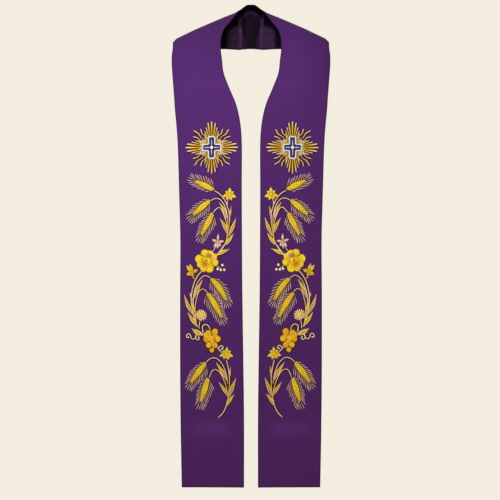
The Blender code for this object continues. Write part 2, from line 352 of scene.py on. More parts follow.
def crease(x, z, row):
    """Height of one soft crease."""
    mid_x, mid_z, slant, half_length, half_width, height = row
    far = half_length * CREASE_REACH
    if abs(x - mid_x) > far or abs(z - mid_z) > far:
        return 0.0
    c = math.cos(math.radians(slant))
    s = math.sin(math.radians(slant))
    along = (x - mid_x) * c + (z - mid_z) * s
    aside = (z - mid_z) * c - (x - mid_x) * s
    return height * math.exp(-(along / half_length) ** 2 - (aside / half_width) ** 2)


def folds(line, across, x, z):
    """Height of the folds above the smooth form, in metres."""
    x = abs(x)
    behind = blend(*RUMPLE_LINES, line) * blend(0.0, RUMPLE_EDGE, across)
    beside = math.cos(2.0 * math.pi * (x - SEAM_X) / RUMPLE_PITCH)
    fade = math.exp(-((x - SEAM_X) / RUMPLE_REACH) ** 2)
    height = -RUMPLE * beside * fade * behind
    front = blend(SHOULDER_END - 1.0, SHOULDER_END + 1.0, line)
    height += RIPPLE * noise.noise((x * RIPPLE_SIZE[0], z * RIPPLE_SIZE[1], front * 3.0))
    if front < 1.0:
        for row in BACK_CREASES:
            height += (1.0 - front) * crease(x, z, row)
    if front > 0.0:
        hanging = blend(WAVES_FROM, WAVES_FULL, z)
        outward = WAVES_INSIDE + (1.0 - WAVES_INSIDE) * blend(*WAVES_ACROSS, x)
        for down, out, depth in WAVES:
            height += depth * hanging * outward * math.sin(z * down + x * out)
        for row in FRONT_CREASES:
            height += front * crease(x, z, row)
    return height


# ---- small helpers ----------------------------------------------------------------
def run_lengths(points):
    """Length of the way through some points, up to each of them."""
    lengths = [0.0]
    for before, after in zip(points, points[1:]):
        lengths.append(lengths[-1] + (after - before).length)
    return lengths


def steps_to(lengths, goals):
    """The step in which each goal is reached, and the part of it that is needed."""
    at = 0
    for goal in goals:
        while at < len(lengths) - 2 and lengths[at + 1] < goal:
            at += 1
        yield at, (goal - lengths[at]) / max(1e-9, lengths[at + 1] - lengths[at])


def make_object(name, bm, materials):
    """Turns a bmesh into an object with its materials."""
    mesh = bpy.data.meshes.new(name)
    bm.to_mesh(mesh)
    bm.free()
    for material in materials:
        mesh.materials.append(material)
    made = bpy.data.objects.new(name, mesh)
    bpy.context.scene.collection.objects.link(made)
    return made


def make_piece(name, bm, materials):
    """Turns a bmesh into a piece of the stole, smooth and riding on its body."""
    piece = make_object(name, bm, materials)
    for polygon in piece.data.polygons:
        polygon.use_smooth = True
    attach(piece, "root")
    return piece


def other_side(bm):
    """Mirror image of a bmesh, its faces still pointing out."""
    copy = bm.copy()
    for vert in copy.verts:
        vert.co.x = -vert.co.x
    bmesh.ops.reverse_faces(copy, faces=copy.faces)
    return copy


# ---- cloth pieces -------------------------------------------------------------------
def stations(first, last, rows, crowding):
    """Cross lines down the middle of the cloth, closer at its start, and their lengths."""
    fine = [first + (last - first) * i / LENGTH_STEPS for i in range(LENGTH_STEPS + 1)]
    lengths = run_lengths([sided_point(line, 0.5) for line in fine])
    goals = [lengths[-1] * (row / rows) ** crowding for row in range(rows + 1)]
    lines = [fine[at] + (fine[at + 1] - fine[at]) * part
             for at, part in steps_to(lengths, goals)]
    return lines, goals


def allowance(distance):
    """Height of the turned-in edge felt through the face."""
    return TURNING * (1.0 - blend(*TURNING_WIDTH, distance))


def tuck_height(x, z):
    """Height of the lining's narrow tucks at the nape, in metres."""
    height = 0.0
    for top_x, low_x, top, width, rise in TUCKS:
        middle = top_x + (low_x - top_x) * blend(-top, -TUCKS_END, -z)
        beside = math.exp(-((abs(x) - middle) / width) ** 2)
        height += rise * CM * beside * blend(-top - TUCK_SOFT[0], -top + TUCK_SOFT[0], -z)
    return height * (1.0 - blend(-TUCKS_END, -TUCKS_END + TUCK_SOFT[1], -z))


def painted_cloth_shade(face, edge, x, y, z):
    """Painted shade and light in the cloth's colour: painted shade at the turned edges and hem,
    a painted shadow high inside the neck with lit parts and lighter tucks, and painted
    highlights on the face.
    """
    forward = max(blend(*BEYOND_NAPE, -y), blend(*BESIDE_NAPE, abs(x)))
    out = abs(x)
    if face:
        # painted shade along the turned edges and the hem
        rim = NAPE_EDGE + (EDGE_SHADE - NAPE_EDGE) * forward
        rim += (1.0 - rim) * blend(0.0, EDGE_WIDTH, edge)
        # painted highlights where the face bellies towards the light
        lit = 1.0
        for at, height, half, tall, gain in PAINTED_SHEEN:
            if y < NAPE_Y:
                lit += gain * math.exp(-((out - at) / half) ** 2 - ((z - height) / tall) ** 2)
        return rim * lit
    # the lining: a painted shadow high inside the neck, painted light on its panel, beside it
    # and along the tucks, fading to its plain colour forward of and beside the nape
    edge_x = PANEL[0] + (PANEL[1] - PANEL[0]) * blend(PANEL_NARROWS, -TUCKS_END, -z)
    gap = min(edge_x + PANEL_SOFT - out, PANEL_TOP[0] - z - PANEL_TOP[1] * x * x)
    panel = blend(0.0, PANEL_SOFT, gap)
    rim = 1.0 - blend(PANEL_SOFT, PANEL_RIM, gap)
    inside = DEEP_SHADE + (PANEL_SHADE + (RIM_SHADE - PANEL_SHADE) * rim - DEEP_SHADE) * panel
    beside = blend(PANEL[1], PANEL[1] + SIDE_SOFT, out) * (1.0 - blend(*SIDE_END, out))
    beside *= blend(*SIDE_TOP, -z - SIDE_DIP[1] * max(0.0, out - SIDE_DIP[0]) ** 2)
    value = max(inside, DEEP_SHADE + (SIDE_SHADE - DEEP_SHADE) * beside)
    value *= 1.0 + MOTTLE * noise.noise((x * MOTTLE_SIZE[0], z * MOTTLE_SIZE[1], 5.0))
    # painted highlight along the tucks
    value += TUCK_SHADE * min(1.0, tuck_height(x, z) / (CM * TUCKS[0][4]))
    return value + (PLAIN_SHADE - value) * forward


def cloth_sheet(first, last, cells, sort):
    """The shown surface of a cloth piece: a grid laid on the form, then folded."""
    columns, rows = cells
    lines, lengths = stations(first, last, rows, CROWDING if first > 0 else 1.0)
    face = sort == "face"
    inset = 0.0 if face else LINING_INSET
    bm = bmesh.new()
    uv = bm.loops.layers.uv.new("cloth")
    # painted shade and light, by which the woven cloth's colour is scaled
    shade = bm.verts.layers.float.new("shade")
    bmesh.ops.create_grid(bm, x_segments=columns, y_segments=rows, size=0.5)
    flat = {}
    raised = {}
    for vert in bm.verts:
        row = round((vert.co.y + 0.5) * rows)
        line = lines[row]
        width = (sided_point(line, 1.0) - sided_point(line, 0.0)).length
        trim = inset / width
        across = trim + (1.0 - 2.0 * trim) * (vert.co.x + 0.5)
        vert.co = sided_point(line, across)
        flat[vert] = ((across - 0.5) * width, lengths[row])
        edge = min(across, 1.0 - across) * width / CM
        x, y, z = (part / CM for part in vert.co)
        behind = y > NAPE_Y
        hem = (lengths[-1] - lengths[row]) / CM if first > 0 else edge
        vert[shade] = painted_cloth_shade(face, min(edge, hem), x, y, z)
        raised[vert] = folds(abs(line), across, x, z)
        if face:
            raised[vert] += FACE_WALL + allowance(edge)
        else:
            raised[vert] -= PLY_GAP + LINING_WALL + behind * tuck_height(x, z)
    if face:
        bmesh.ops.reverse_faces(bm, faces=bm.faces)
    bm.normal_update()
    outward = 1.0 if face else -1.0
    for vert in bm.verts:
        vert.co += vert.normal * (outward * raised[vert])
    for polygon in bm.faces:
        for loop in polygon.loops:
            loop[uv].uv = flat[loop.vert]
    return bm


def give_wall(piece, wall, edge):
    """Thickness inwards from the modelled surface, with softly rounded edges."""
    solid = piece.modifiers.new("cloth wall", "SOLIDIFY")
    solid.thickness = wall
    solid.offset = -1.0
    solid.use_even_offset = True
    soft = piece.modifiers.new("folded edge", "BEVEL")
    soft.width = edge
    soft.segments = 2
    soft.limit_method = "ANGLE"
    soft.angle_limit = math.radians(EDGE_ANGLE)


def build_cloth(materials):
    """Bands, neck piece and their linings; returns the pieces by node."""
    made = {}
    hem_length = (FRONT_LINES[-2][2] - FRONT_LINES[-1][2]) * CM
    lining_hem = HEM_LINE - LINING_INSET / hem_length
    sorts = (
        ("face", "face_cloth", HEM_LINE, FACE_WALL, FOLDED_EDGE,
         ("band_left", "band_right", "neck_piece")),
        ("lining", "lining", lining_hem, LINING_WALL, LINING_EDGE,
         ("lining_left", "lining_right", "lining_neck")),
    )
    for sort, slot, hem, wall, edge, nodes in sorts:
        left = cloth_sheet(NECK_SEAM, hem, BAND_CELLS, sort)
        right = other_side(left)
        neck = cloth_sheet(-NECK_SEAM, NECK_SEAM, NECK_CELLS, sort)
        for node, bm in zip(nodes, (left, right, neck)):
            piece = make_piece(node + "_cloth", bm, [materials[slot]])
            give_wall(piece, wall, edge)
            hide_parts(node)
            made[node] = piece
    return made


# ---- embroidery: its layout on one band (cm) -------------------------------------
# threads: name, light colour, shade colour, roughness
THREADS = (
    ("yellow silk", (1.0, 0.74, 0.012), (0.66, 0.33, 0.002), 0.42),
    ("gold silk", (1.0, 0.66, 0.075), (0.42, 0.18, 0.008), 0.40),
    ("orange silk", (1.0, 0.53, 0.012), (0.48, 0.15, 0.003), 0.42),
    ("peach silk", (1.0, 0.67, 0.56), (0.60, 0.29, 0.17), 0.44),
    ("pale gold silk", (1.0, 0.80, 0.52), (0.70, 0.42, 0.15), 0.40),
    ("mauve silk", (1.0, 0.66, 0.74), (0.45, 0.25, 0.25), 0.48),
    ("pink silk", (1.0, 0.66, 0.66), (0.60, 0.27, 0.26), 0.46),
    ("ivory silk", (1.0, 0.80, 0.86), (0.60, 0.43, 0.50), 0.46),
    ("silver silk", (0.86, 0.92, 0.90), (0.36, 0.42, 0.42), 0.34),
    ("violet silk", (0.055, 0.022, 0.180), (0.018, 0.007, 0.060), 0.46),
    # the umber silk lies as dark grounds round and under shapes as painted shadow, partly an
    # outline thread; it also makes the dots round the blossom's throat
    ("umber silk and painted shadow", (0.088, 0.025, 0.009), (0.045, 0.012, 0.005), 0.70),
    ("lining thread", (0.230, 0.120, 0.270), (0.040, 0.016, 0.050), 0.50),
)

# starts of the random draws
SUN_SEED = 11
CROSS_SEED = 12
SPRAY_SEED = 21
EDGE_SEED = 31
STITCH_SPACING = 0.00055     # metres from stitch to stitch in the threads' finish

# sunburst: its middle, then its rays from the lowest to the one worked last
SUN = (10.62, -38.32)
CARDINALS = (0.0, 90.0, 180.0, 270.0)
# beside a cardinal: angle, reach, width at the tip
STRAIGHT_RAYS = (
    (15.6, 5.4, 0.30),
    (-15.6, 5.4, 0.30),
    (23.0, 4.6, 0.24),
    (-23.0, 4.6, 0.24),
    (0.0, 6.75, 0.45),
    (8.4, 6.45, 0.43),
    (-8.4, 6.45, 0.43),
)
# beside a diagonal: the same
WAVY_RAYS = (
    (19.0, 4.2, 0.22),
    (-19.0, 4.2, 0.22),
    (12.4, 5.6, 0.28),
    (-12.4, 5.6, 0.28),
    (0.0, 6.4, 0.32),
)
CORE = 2.9                   # reach of the close inner rays
CORE_STAGGER = 0.3           # every second one is this much longer
CORE_START = 0.8
CORE_WIDTH = 0.30
CORE_RAYS = 36
RAY_START = 0.5
RAY_FAN = 1.4                # how much wider apart the straight rays start
# the dark ground under the rays is painted shadow between them
RAY_GROUND = (6.2, 2.0)      # reach and width of the dark ground under them
RAY_WAVE = 0.15              # height of the waves
CROSS = (2.75, 2.35, 0.80)   # half its height, half its breadth, half an arm's width
CROSS_EDGE = 0.36
CROSS_LINE = (0.55, 2.1)     # where the silver line in each arm starts and ends
CROSS_LINE_WIDTH = 0.26
CROSS_KNOT = 0.45
CURLS = (62.0, 118.0, 242.0, 298.0)
CURL_PLACE = 2.55            # from the cross's middle
CURL = 0.66
CURL_WIDTH = 0.17
CURL_KNOT = 0.20

# ears: base, tip, bend to the left of the way from base to tip (a share of its
# length), lean of the bristles to the right of it in degrees
EARS = (
    ((9.2, -49.1), (13.8, -46.8), 0.015, -7.0),
    ((10.1, -51.8), (14.4, -55.4), 0.015, 9.0),
    ((9.4, -55.0), (12.3, -60.5), 0.0, 8.0),
    ((9.8, -71.7), (6.0, -77.2), -0.048, -10.0),
    ((10.8, -75.4), (7.2, -81.6), -0.018, -10.0),
    ((11.2, -93.3), (15.0, -98.3), 0.018, 9.0),
    ((10.6, -97.2), (12.5, -103.2), 0.0, 9.0),
)
EAR_WIDTH = 1.08
GRAIN_PITCH = 0.50
AWN_PITCH = 0.72
AWN_WIDTH = 0.19
AWN_ROOT = 0.20              # how far beside the middle a bristle starts
AWN_SPREAD = (48.0, 13.0)    # degrees at the ear's base, and how much less at its tip
AWN_REACH = (2.95, 0.75)     # the same for the bristles' length
SHADE_AWN_WIDTH = 0.15       # the short dark bristles between them
SHADE_AWN_SHARE = 0.62       # their share of the length
TIP_AWNS = 4
TIP_AWN_REACH = 2.35
TIP_AWN_TURN = 15.0          # degrees from one to the next
# stems: width, then the points they pass through
STEMS = (
    (0.18, (5.4, -51.4), (5.7, -52.1), (5.7, -52.9)),
    (0.20, (5.8, -59.1), (6.0, -57.3), (6.5, -55.7), (7.1, -54.2), (7.8, -53.5),
     (8.6, -54.0), (9.4, -55.0)),
    (0.20, (5.7, -59.5), (5.6, -57.2), (5.8, -55.1), (6.3, -53.3), (7.2, -51.8),
     (8.2, -51.2), (9.2, -51.4), (10.3, -52.0)),
    (0.22, (5.6, -60.0), (5.2, -57.7), (5.1, -55.6), (5.6, -53.5), (6.3, -51.8),
     (7.5, -50.2), (9.1, -49.2)),
    (0.34, (5.6, -59.6), (5.8, -61.6), (6.3, -62.9), (7.4, -64.5), (8.5, -66.0)),
    (0.18, (8.6, -63.5), (9.1, -64.3), (9.6, -65.1)),
    (0.13, (7.4, -69.2), (7.9, -68.8), (8.5, -68.5)),
    (0.20, (10.8, -75.5), (11.5, -74.6), (12.2, -74.4), (13.0, -75.1), (13.55, -76.6),
     (13.95, -78.6), (14.0, -80.7)),
    (0.20, (9.8, -71.8), (10.8, -71.1), (11.7, -71.0), (13.0, -72.2), (13.8, -73.8),
     (14.3, -75.6), (14.5, -77.6), (14.4, -79.9)),
    (0.26, (12.1, -69.7), (13.0, -70.6), (13.7, -71.7), (14.35, -73.2), (14.85, -75.2),
     (15.0, -77.4), (14.7, -79.6), (14.1, -81.7), (13.5, -84.2)),
    (0.18, (14.2, -71.9), (14.5, -71.4), (14.8, -70.9)),
    (0.20, (12.7, -82.4), (12.9, -83.3), (13.0, -84.6)),
    (0.24, (8.4, -89.3), (7.8, -90.0), (7.1, -90.8)),
    (0.26, (14.0, -84.8), (12.6, -85.5), (11.9, -86.2)),
    (0.20, (5.6, -101.7), (6.0, -99.4), (6.7, -97.5), (7.6, -95.8), (8.7, -95.0),
     (9.6, -95.3), (10.4, -97.2)),
    (0.20, (5.6, -98.8), (6.0, -96.3), (6.7, -94.3), (7.6, -92.9), (8.9, -92.0),
     (10.2, -92.3), (11.3, -93.3)),
    (0.24, (6.0, -92.5), (5.5, -94.6), (5.2, -96.9), (5.2, -99.4), (5.5, -102.0),
     (6.1, -104.6), (6.8, -106.1), (8.1, -107.4)),
)
STEM_PADDING = 1.16          # the worked stem is this much wider
JOINS = ((5.6, -60.4), (14.2, -81.6), (5.6, -101.4))
JOIN_REACH = 4.4             # stems are worked over in gold near the joins
LEAF_MARGIN = 0.16
LEAF_VEIN = 0.10
# leaves: tip, base, width, bend to the left of the way from base to tip, thread
LEAVES = (
    ((7.75, -52.2), (5.95, -56.4), 0.92, 0.07, "gold silk"),
    ((4.65, -53.2), (5.25, -56.6), 0.48, 0.00, "gold silk"),
    ((7.6, -56.3), (5.8, -60.2), 0.90, 0.05, "gold silk"),
    ((3.5, -56.2), (5.4, -61.0), 0.98, 0.02, "gold silk"),
    ((4.1, -60.2), (6.1, -63.2), 0.85, 0.00, "yellow silk"),
    ((5.1, -64.15), (8.8, -65.8), 1.00, -0.01, "yellow silk"),
    ((12.0, -71.9), (14.4, -77.0), 1.00, -0.03, "gold silk"),
    ((14.7, -76.6), (13.7, -83.6), 0.85, -0.02, "gold silk"),
    ((16.8, -75.8), (14.4, -81.2), 1.00, -0.05, "gold silk"),
    ((15.9, -80.4), (13.3, -84.2), 1.00, -0.02, "yellow silk"),
    ((15.3, -75.3), (15.1, -76.6), 0.32, 0.00, "peach silk"),
    ((14.9, -84.5), (12.0, -86.3), 1.15, -0.06, "yellow silk"),
    ((8.6, -93.2), (5.7, -98.0), 1.10, 0.02, "gold silk"),
    ((4.9, -94.2), (5.2, -97.3), 0.48, 0.00, "gold silk"),
    ((7.9, -98.2), (5.4, -102.0), 0.90, 0.01, "gold silk"),
    ((3.5, -97.1), (5.2, -102.0), 1.02, -0.01, "gold silk"),
    ((3.9, -101.3), (5.9, -104.3), 0.88, -0.04, "yellow silk"),
)
TENDRILS = (
    ((10.1, -84.9), (10.5, -84.0), (11.2, -83.5), (12.0, -83.8), (12.1, -84.5),
     (12.0, -85.3)),
    ((12.5, -86.0), (13.4, -86.1), (13.9, -86.6), (13.7, -87.3), (13.2, -87.5),
     (12.9, -87.1), (13.1, -86.8)),
    ((13.6, -86.3), (14.1, -87.1), (14.7, -87.3), (15.1, -86.8), (15.2, -86.2),
     (15.7, -85.85), (16.2, -86.3), (16.1, -86.9), (15.7, -86.8)),
    ((8.1, -89.7), (7.8, -89.25), (7.3, -88.95), (6.85, -89.2), (6.85, -89.65),
     (7.2, -89.75)),
)
TENDRIL_WIDTH = 0.26
TENDRIL_KNOT = 0.20
# grapes, lowest in the pile first: place and radius
GRAPES = (
    ((9.0, -86.5), 0.95), ((9.6, -88.1), 0.92), ((11.1, -87.3), 0.90), ((11.1, -86.2), 0.95),
    ((8.9, -85.4), 0.95), ((8.2, -87.2), 0.90), ((10.6, -85.8), 0.95), ((9.95, -87.1), 0.92),
    ((8.95, -88.8), 0.88), ((10.5, -88.8), 0.84), ((9.7, -90.1), 0.68),
)
BERRIES = ((7.0, -68.3), (6.5, -69.5), (7.4, -69.5), (8.2, -69.3))
BERRY_RADIUS = 0.36

UPPER_DAFFODIL = (5.14, -50.28)
LOWER_DAFFODIL = (5.92, -91.05)
STAR = (8.12, -62.39)
BUD = (14.8, -70.3)
ROSETTE = (12.42, -81.11)
ROSETTE_PETALS = 14
ROSETTE_PETAL = (0.35, 1.46, 0.44)   # start, reach, width
ROSETTE_HEART = 12                   # short rays in its heart
# flowers' petals, lowest first: angle clockwise from straight up, reach, width, thread
DAFFODIL_PETALS = (
    (48.0, 1.40, 1.00, "gold silk"),
    (148.0, 1.55, 1.00, "gold silk"),
    (305.0, 1.40, 1.00, "gold silk"),
    (106.0, 1.95, 1.05, "yellow silk"),
    (200.0, 1.60, 1.08, "yellow silk"),
    (248.0, 1.90, 1.02, "yellow silk"),
    (-4.0, 1.85, 0.98, "yellow silk"),
)
STAR_PETALS = (
    (68.0, 1.70, 0.80, "pink silk"),
    (140.0, 1.75, 0.84, "pink silk"),
    (212.0, 1.40, 0.80, "pink silk"),
    (278.0, 1.65, 0.80, "pink silk"),
    (176.0, 1.80, 0.76, "pink silk"),
    (-2.0, 2.15, 0.72, "pink silk"),
)
BUD_PETALS = (
    (300.0, 1.75, 1.10, "gold silk"),
    (108.0, 1.50, 1.10, "yellow silk"),
    (190.0, 1.00, 1.20, "orange silk"),
    (36.0, 2.45, 1.05, "yellow silk"),
    (12.0, 2.45, 1.15, "gold silk"),
)
BLOSSOM = (11.0, -67.2)
# the blossom's lobes, lowest first: angle, distance of the middle, radius, thread
LOBES = (
    (246.0, 1.00, 0.80, "gold silk"),
    (118.0, 1.75, 0.90, "gold silk"),
    (158.0, 2.05, 0.80, "orange silk"),
    (14.0, 1.95, 0.92, "yellow silk"),
    (300.0, 2.02, 0.80, "gold silk"),
    (334.0, 1.92, 0.82, "yellow silk"),
    (200.0, 2.05, 1.00, "yellow silk"),
    (258.0, 2.05, 0.88, "yellow silk"),
    (76.0, 1.95, 1.00, "yellow silk"),
)
LOBE_KNOTS = (6, 34.0, 0.25)     # along a lobe's edge: how many, degrees apart, radius
SHADED = (118.0, 10.0, 9)        # orange lines: first angle, degrees apart, how many
THROAT = (-24.0, 1.5)            # angle and distance of the mauve throat
THROAT_DOTS = (0.24, 52.0, 7)    # distance, degrees apart, how many
SPOT = (-75.0, 0.6)              # angle and distance of the bright spot

SPRAY_ENDS = (-44.0, -66.6, -83.4, -110.0)   # heights that part the sprays
SUN_SHIFT = (-0.58, 0.0)     # right band against the mirror image of the left
SPRAY_SHIFT = (0.32, -0.12)
# width of the dark outline of painted shadow beside each shape
SHADOW_RIM = 0.25                   # width of the dark outline beside each shape
# heights in metres: the dark grounds of painted shadow, where the lowest petal lies over them,
# and how much higher each petal or grape lies than the one before
GROUND = 0.0003
THICK_GROUND = 0.0004
LOWEST = 0.0002
PETAL_STEP = 0.00012
GRAPE_STEP = 0.00014

# stitches along the lining's edges (cm)
STITCH = 0.32
STITCH_WIDTH = 0.08
STITCH_PITCH = 0.90
STITCH_INSET = 0.36
STITCH_START = 0.6           # from the neck seam to the first one
STITCH_END = 0.5             # from the last table line to the row along the hem
# painted shade: the stitches are darker near the neck seam, where the nape lies in shade
STITCH_TONE = (10.0, 16.0)   # from the neck seam, where the stitches grow lighter
LINING_STEP = 1.0            # spacing of the table of the lining's cross lines


# ---- embroidery: laying it on the band --------------------------------------------
def lining_lines():
    """The left lining's cross lines, one every LINING_STEP down its middle."""
    lines, lengths = stations(NECK_SEAM, HEM_LINE, LENGTH_STEPS, 1.0)
    steps = int(lengths[-1] / CM / LINING_STEP)
    return [lines[round(i * LINING_STEP * CM / lengths[-1] * LENGTH_STEPS)]
            for i in range(steps + 1)]


LINING_LINES = lining_lines()


def on_band(a, h, lift):
    """Point on the left band's face; lift in metres."""
    fall = math.sqrt(form("ridge_z", a) - h)
    y = form_y(a, fall, h)
    step = 0.25
    across = (form_y(a + step, fall, h) - y) / step
    lower = math.sqrt(form("ridge_z", a) - h + step)
    down = (y - form_y(a, lower, h - step)) / step
    outward = Vector((across, -1.0, down)).normalized()
    height = folds(float(HEM_LINE), 0.5, a, h) + FACE_WALL + lift
    return Vector((a, y, h)) * CM + outward * height


def on_lining(across, along, lift):
    """Point on the left band's lining, from the middle and from the neck seam."""
    at = min(len(LINING_LINES) - 2.001, max(0.0, along / LINING_STEP))
    low = int(at)
    line = LINING_LINES[low] + (LINING_LINES[low + 1] - LINING_LINES[low]) * (at - low)
    inner = sided_point(line, 0.0)
    outer = sided_point(line, 1.0)
    part = 0.5 + across * CM / (outer - inner).length
    place = sided_point(line, part)
    outward = sided_point(line - 0.02, part) - sided_point(line + 0.02, part)
    outward = (outer - inner).cross(outward).normalized()
    x = place.x / CM
    z = place.z / CM
    height = folds(line, part, x, z) - PLY_GAP - LINING_WALL - lift
    return place + outward * height


def smooth_route(points, steps=24):
    """Evenly spaced points of a smooth curve through a few points."""
    if len(points) < 2:
        return list(points)
    xs = [p[0] for p in points]
    ys = [p[1] for p in points]
    fine = steps * 4
    last = len(points) - 1
    curve = [Vector((spline(xs, last * i / fine), spline(ys, last * i / fine)))
             for i in range(fine + 1)]
    lengths = run_lengths(curve)
    goals = [lengths[-1] * i / steps for i in range(steps + 1)]
    return [curve[at].lerp(curve[at + 1], part) for at, part in steps_to(lengths, goals)]


def bowed(start, end, bend, steps=12):
    """Route from start to end, bowed to the left by a share of its length."""
    start = Vector(start)
    end = Vector(end)
    way = end - start
    left = Vector((-way.y, way.x))
    middle = start + way * 0.5 + left * bend
    return smooth_route((start, middle, end), steps)


def right_of(heading):
    """The way to the right of a heading."""
    return Vector((heading.y, -heading.x))


def along_route(route, part):
    """Place and heading at a part of a route."""
    last = len(route) - 1
    at = max(0.0, min(1.0, part)) * last
    low = min(last - 1, int(at))
    place = route[low].lerp(route[low + 1], at - low)
    before = route[max(0, low - 1)]
    after = route[min(last, low + 2)]
    return place, (after - before).normalized()


def shape_at(shape, part):
    """Value of a list of (part, value) pairs at a part."""
    for (p0, v0), (p1, v1) in zip(shape, shape[1:]):
        if part <= p1:
            return v0 + (v1 - v0) * blend(p0, p1, part)
    return shape[-1][1]


BLUNT = ((0.0, 1.0), (1.0, 1.0))
GRAIN = ((0.0, 0.55), (0.40, 1.0), (1.0, 0.25))
RAY = ((0.0, 0.35), (0.85, 1.0), (1.0, 1.0))
NEEDLE = ((0.0, 1.0), (1.0, 0.35))
BRISTLE = ((0.0, 0.4), (0.75, 1.0), (1.0, 0.85))
LEAF = ((0.0, 0.15), (0.45, 1.0), (1.0, 0.08))
EAR = ((0.0, 0.64), (0.38, 1.0), (1.0, 0.42))
PETAL = ((0.0, 0.30), (0.62, 1.0), (1.0, 0.75))
POINTED = ((0.0, 0.50), (0.50, 1.0), (1.0, 0.10))
NEARING = ((0.0, 0.75), (0.45, 1.0), (1.0, 0.1))
SUNK = 0.0004                # how far a bar is bedded in the cloth
DRIFT = 0.08                 # how far the tone of a bar strays


class Stitching:
    """Satin-stitched shapes of one piece of embroidery.

    Places and widths are in centimetres, rises and what lies over in metres.
    """

    def __init__(self, seed):
        self.bm = bmesh.new()
        self.bm.loops.layers.uv.new("thread")
        self.bm.verts.layers.float.new("tone")
        self.draws = random.Random(seed)
        self.threads = []
        self.blanks = {}
        self.carrier = bpy.data.meshes.new("stitch")

    def blank(self, rings, sides):
        """A round blank with poles at both ends, made once for each fineness."""
        if (rings, sides) not in self.blanks:
            bm = bmesh.new()
            bm.loops.layers.uv.new("thread")
            bm.verts.layers.float.new("tone")
            bmesh.ops.create_uvsphere(bm, u_segments=sides, v_segments=rings, radius=1.0)
            self.blanks[rings, sides] = bm
        return self.blanks[rings, sides].copy()

    def thread(self, name):
        """Number of a thread among those this piece uses."""
        if name not in self.threads:
            self.threads.append(name)
        return self.threads.index(name)

    def bar(self, route, width, thread, shape=BLUNT, rise=0.0007, over=0.0,
            tones=(0.6, 0.6), rings=10, sides=6, lengthwise=False, caps=1.6):
        """A closed bar of stitches along a route, domed above what it lies over.

        Its tones run from the start to the end, rings and sides are its cells along
        and round it, and larger caps give blunter ends.
        """
        bm = self.blank(rings, sides)
        uv = bm.loops.layers.uv["thread"]
        tone = bm.verts.layers.float["tone"]
        length = run_lengths(route)[-1]
        drift = self.draws.uniform(-DRIFT, DRIFT)
        flat = {}
        for vert in bm.verts:
            x, y, z = vert.co
            part = 0.5 - 0.5 * z
            ring = math.hypot(x, y)
            dome = min(1.0, caps * ring)
            place, heading = along_route(route, part)
            half = 0.5 * width * shape_at(shape, part) * dome
            aside = x / ring if ring > 1e-6 else 0.0
            up = y / ring if ring > 1e-6 else 0.0
            spot = place + right_of(heading) * (aside * half)
            lift = over + (rise if up > 0.0 else SUNK) * up * dome
            vert.co = (spot.x, spot.y, lift)
            vert[tone] = tones[0] + (tones[1] - tones[0]) * part + drift
            run = length * part * CM
            reach = aside * half * CM
            flat[vert] = (reach, run) if lengthwise else (run, reach)
        index = self.thread(thread)
        for face in bm.faces:
            face.material_index = index
            for loop in face.loops:
                loop[uv].uv = flat[loop.vert]
        bm.to_mesh(self.carrier)
        bm.free()
        self.bm.from_mesh(self.carrier)

    def outline(self, route, width, shape=BLUNT, rings=10, over=0.0, rim=SHADOW_RIM):
        """The flat dark ground that shows as a line round a shape: painted shadow beside the
        raised stitches, partly an outline thread.
        """
        self.bar(route, width + 2.0 * rim, "umber silk and painted shadow", shape=shape, rise=GROUND,
                 over=over, tones=(0.5, 0.5), rings=rings, sides=4, caps=2.4)

    def line(self, route, width, thread, rise, over, tones, shape=NEEDLE, rings=6):
        """A single line of stitches laid over a shape."""
        self.bar(route, width, thread, shape=shape, rise=rise, over=over, tones=tones,
                 rings=rings, sides=4, caps=2.0)

    def knot(self, centre, radius, thread, rise=0.0010, over=0.0, tone=0.7):
        """A round padded dot."""
        middle = Vector(centre)
        route = [middle + Vector((0.0, radius * (2.0 * i / 6 - 1.0))) for i in range(7)]
        self.bar(route, 2.0 * radius, thread, rise=rise, over=over, tones=(tone, tone),
                 rings=8, sides=8, caps=1.0)

    def finish(self, name, materials, shift, lay=on_band):
        """The piece on the left band, and its mirror image on the right."""
        opposite = self.bm.copy()
        for vert in self.bm.verts:
            vert.co = lay(*vert.co)
        for vert in opposite.verts:
            a, h, lift = vert.co
            vert.co = lay(a + shift[0], h + shift[1], lift)
        for bm in self.blanks.values():
            bm.free()
        bpy.data.meshes.remove(self.carrier)
        right = other_side(opposite)
        opposite.free()
        used = [materials[thread] for thread in self.threads]
        return [make_piece(name + "_left", self.bm, used),
                make_piece(name + "_right", right, used)]


# ---- embroidery: motifs --------------------------------------------------------------
def turned(angle, reach, centre):
    """Point at an angle from straight up, clockwise in degrees."""
    a = math.radians(angle)
    return Vector((centre[0] + reach * math.sin(a), centre[1] + reach * math.cos(a)))


def straight(start, end, steps=6):
    """Evenly spaced points from start to end."""
    return [start.lerp(end, i / steps) for i in range(steps + 1)]


def spoke(centre, angle, inner, outer, steps=6):
    """Straight route outwards between two distances from a centre."""
    return straight(turned(angle, inner, centre), turned(angle, outer, centre), steps)


def ring_points(centre, radius, first, step, count):
    """Points at one distance from a centre, a step of degrees apart."""
    return [turned(first + step * i, radius, centre) for i in range(count)]


def wavy(start, end, height, steps=18, half_turns=4.6):
    """Route that waves about the straight one, to its right first if height is above 0."""
    side = right_of((end - start).normalized()) * height
    return [spot + side * math.sin(i / steps * half_turns * math.pi) * min(1.0, i / 6.0)
            for i, spot in enumerate(straight(start, end, steps))]


def ray(work, route, width, tip_thread, rise, pale, pale_from=0.55):
    """A gold ray with a dark outline of painted shadow and a pale end worked over it."""
    work.outline(route, width, shape=RAY, rings=len(route))
    work.bar(route, width, "gold silk", shape=RAY, rise=rise, tones=(0.10, 0.70),
             rings=len(route), caps=2.4)
    tip = route[int(pale_from * len(route)):]
    work.bar(tip, width * 0.66, tip_thread, shape=RAY, over=0.0003, rise=rise * 0.95,
             tones=(pale - 1.2, pale), rings=len(tip) + 2, caps=2.0)


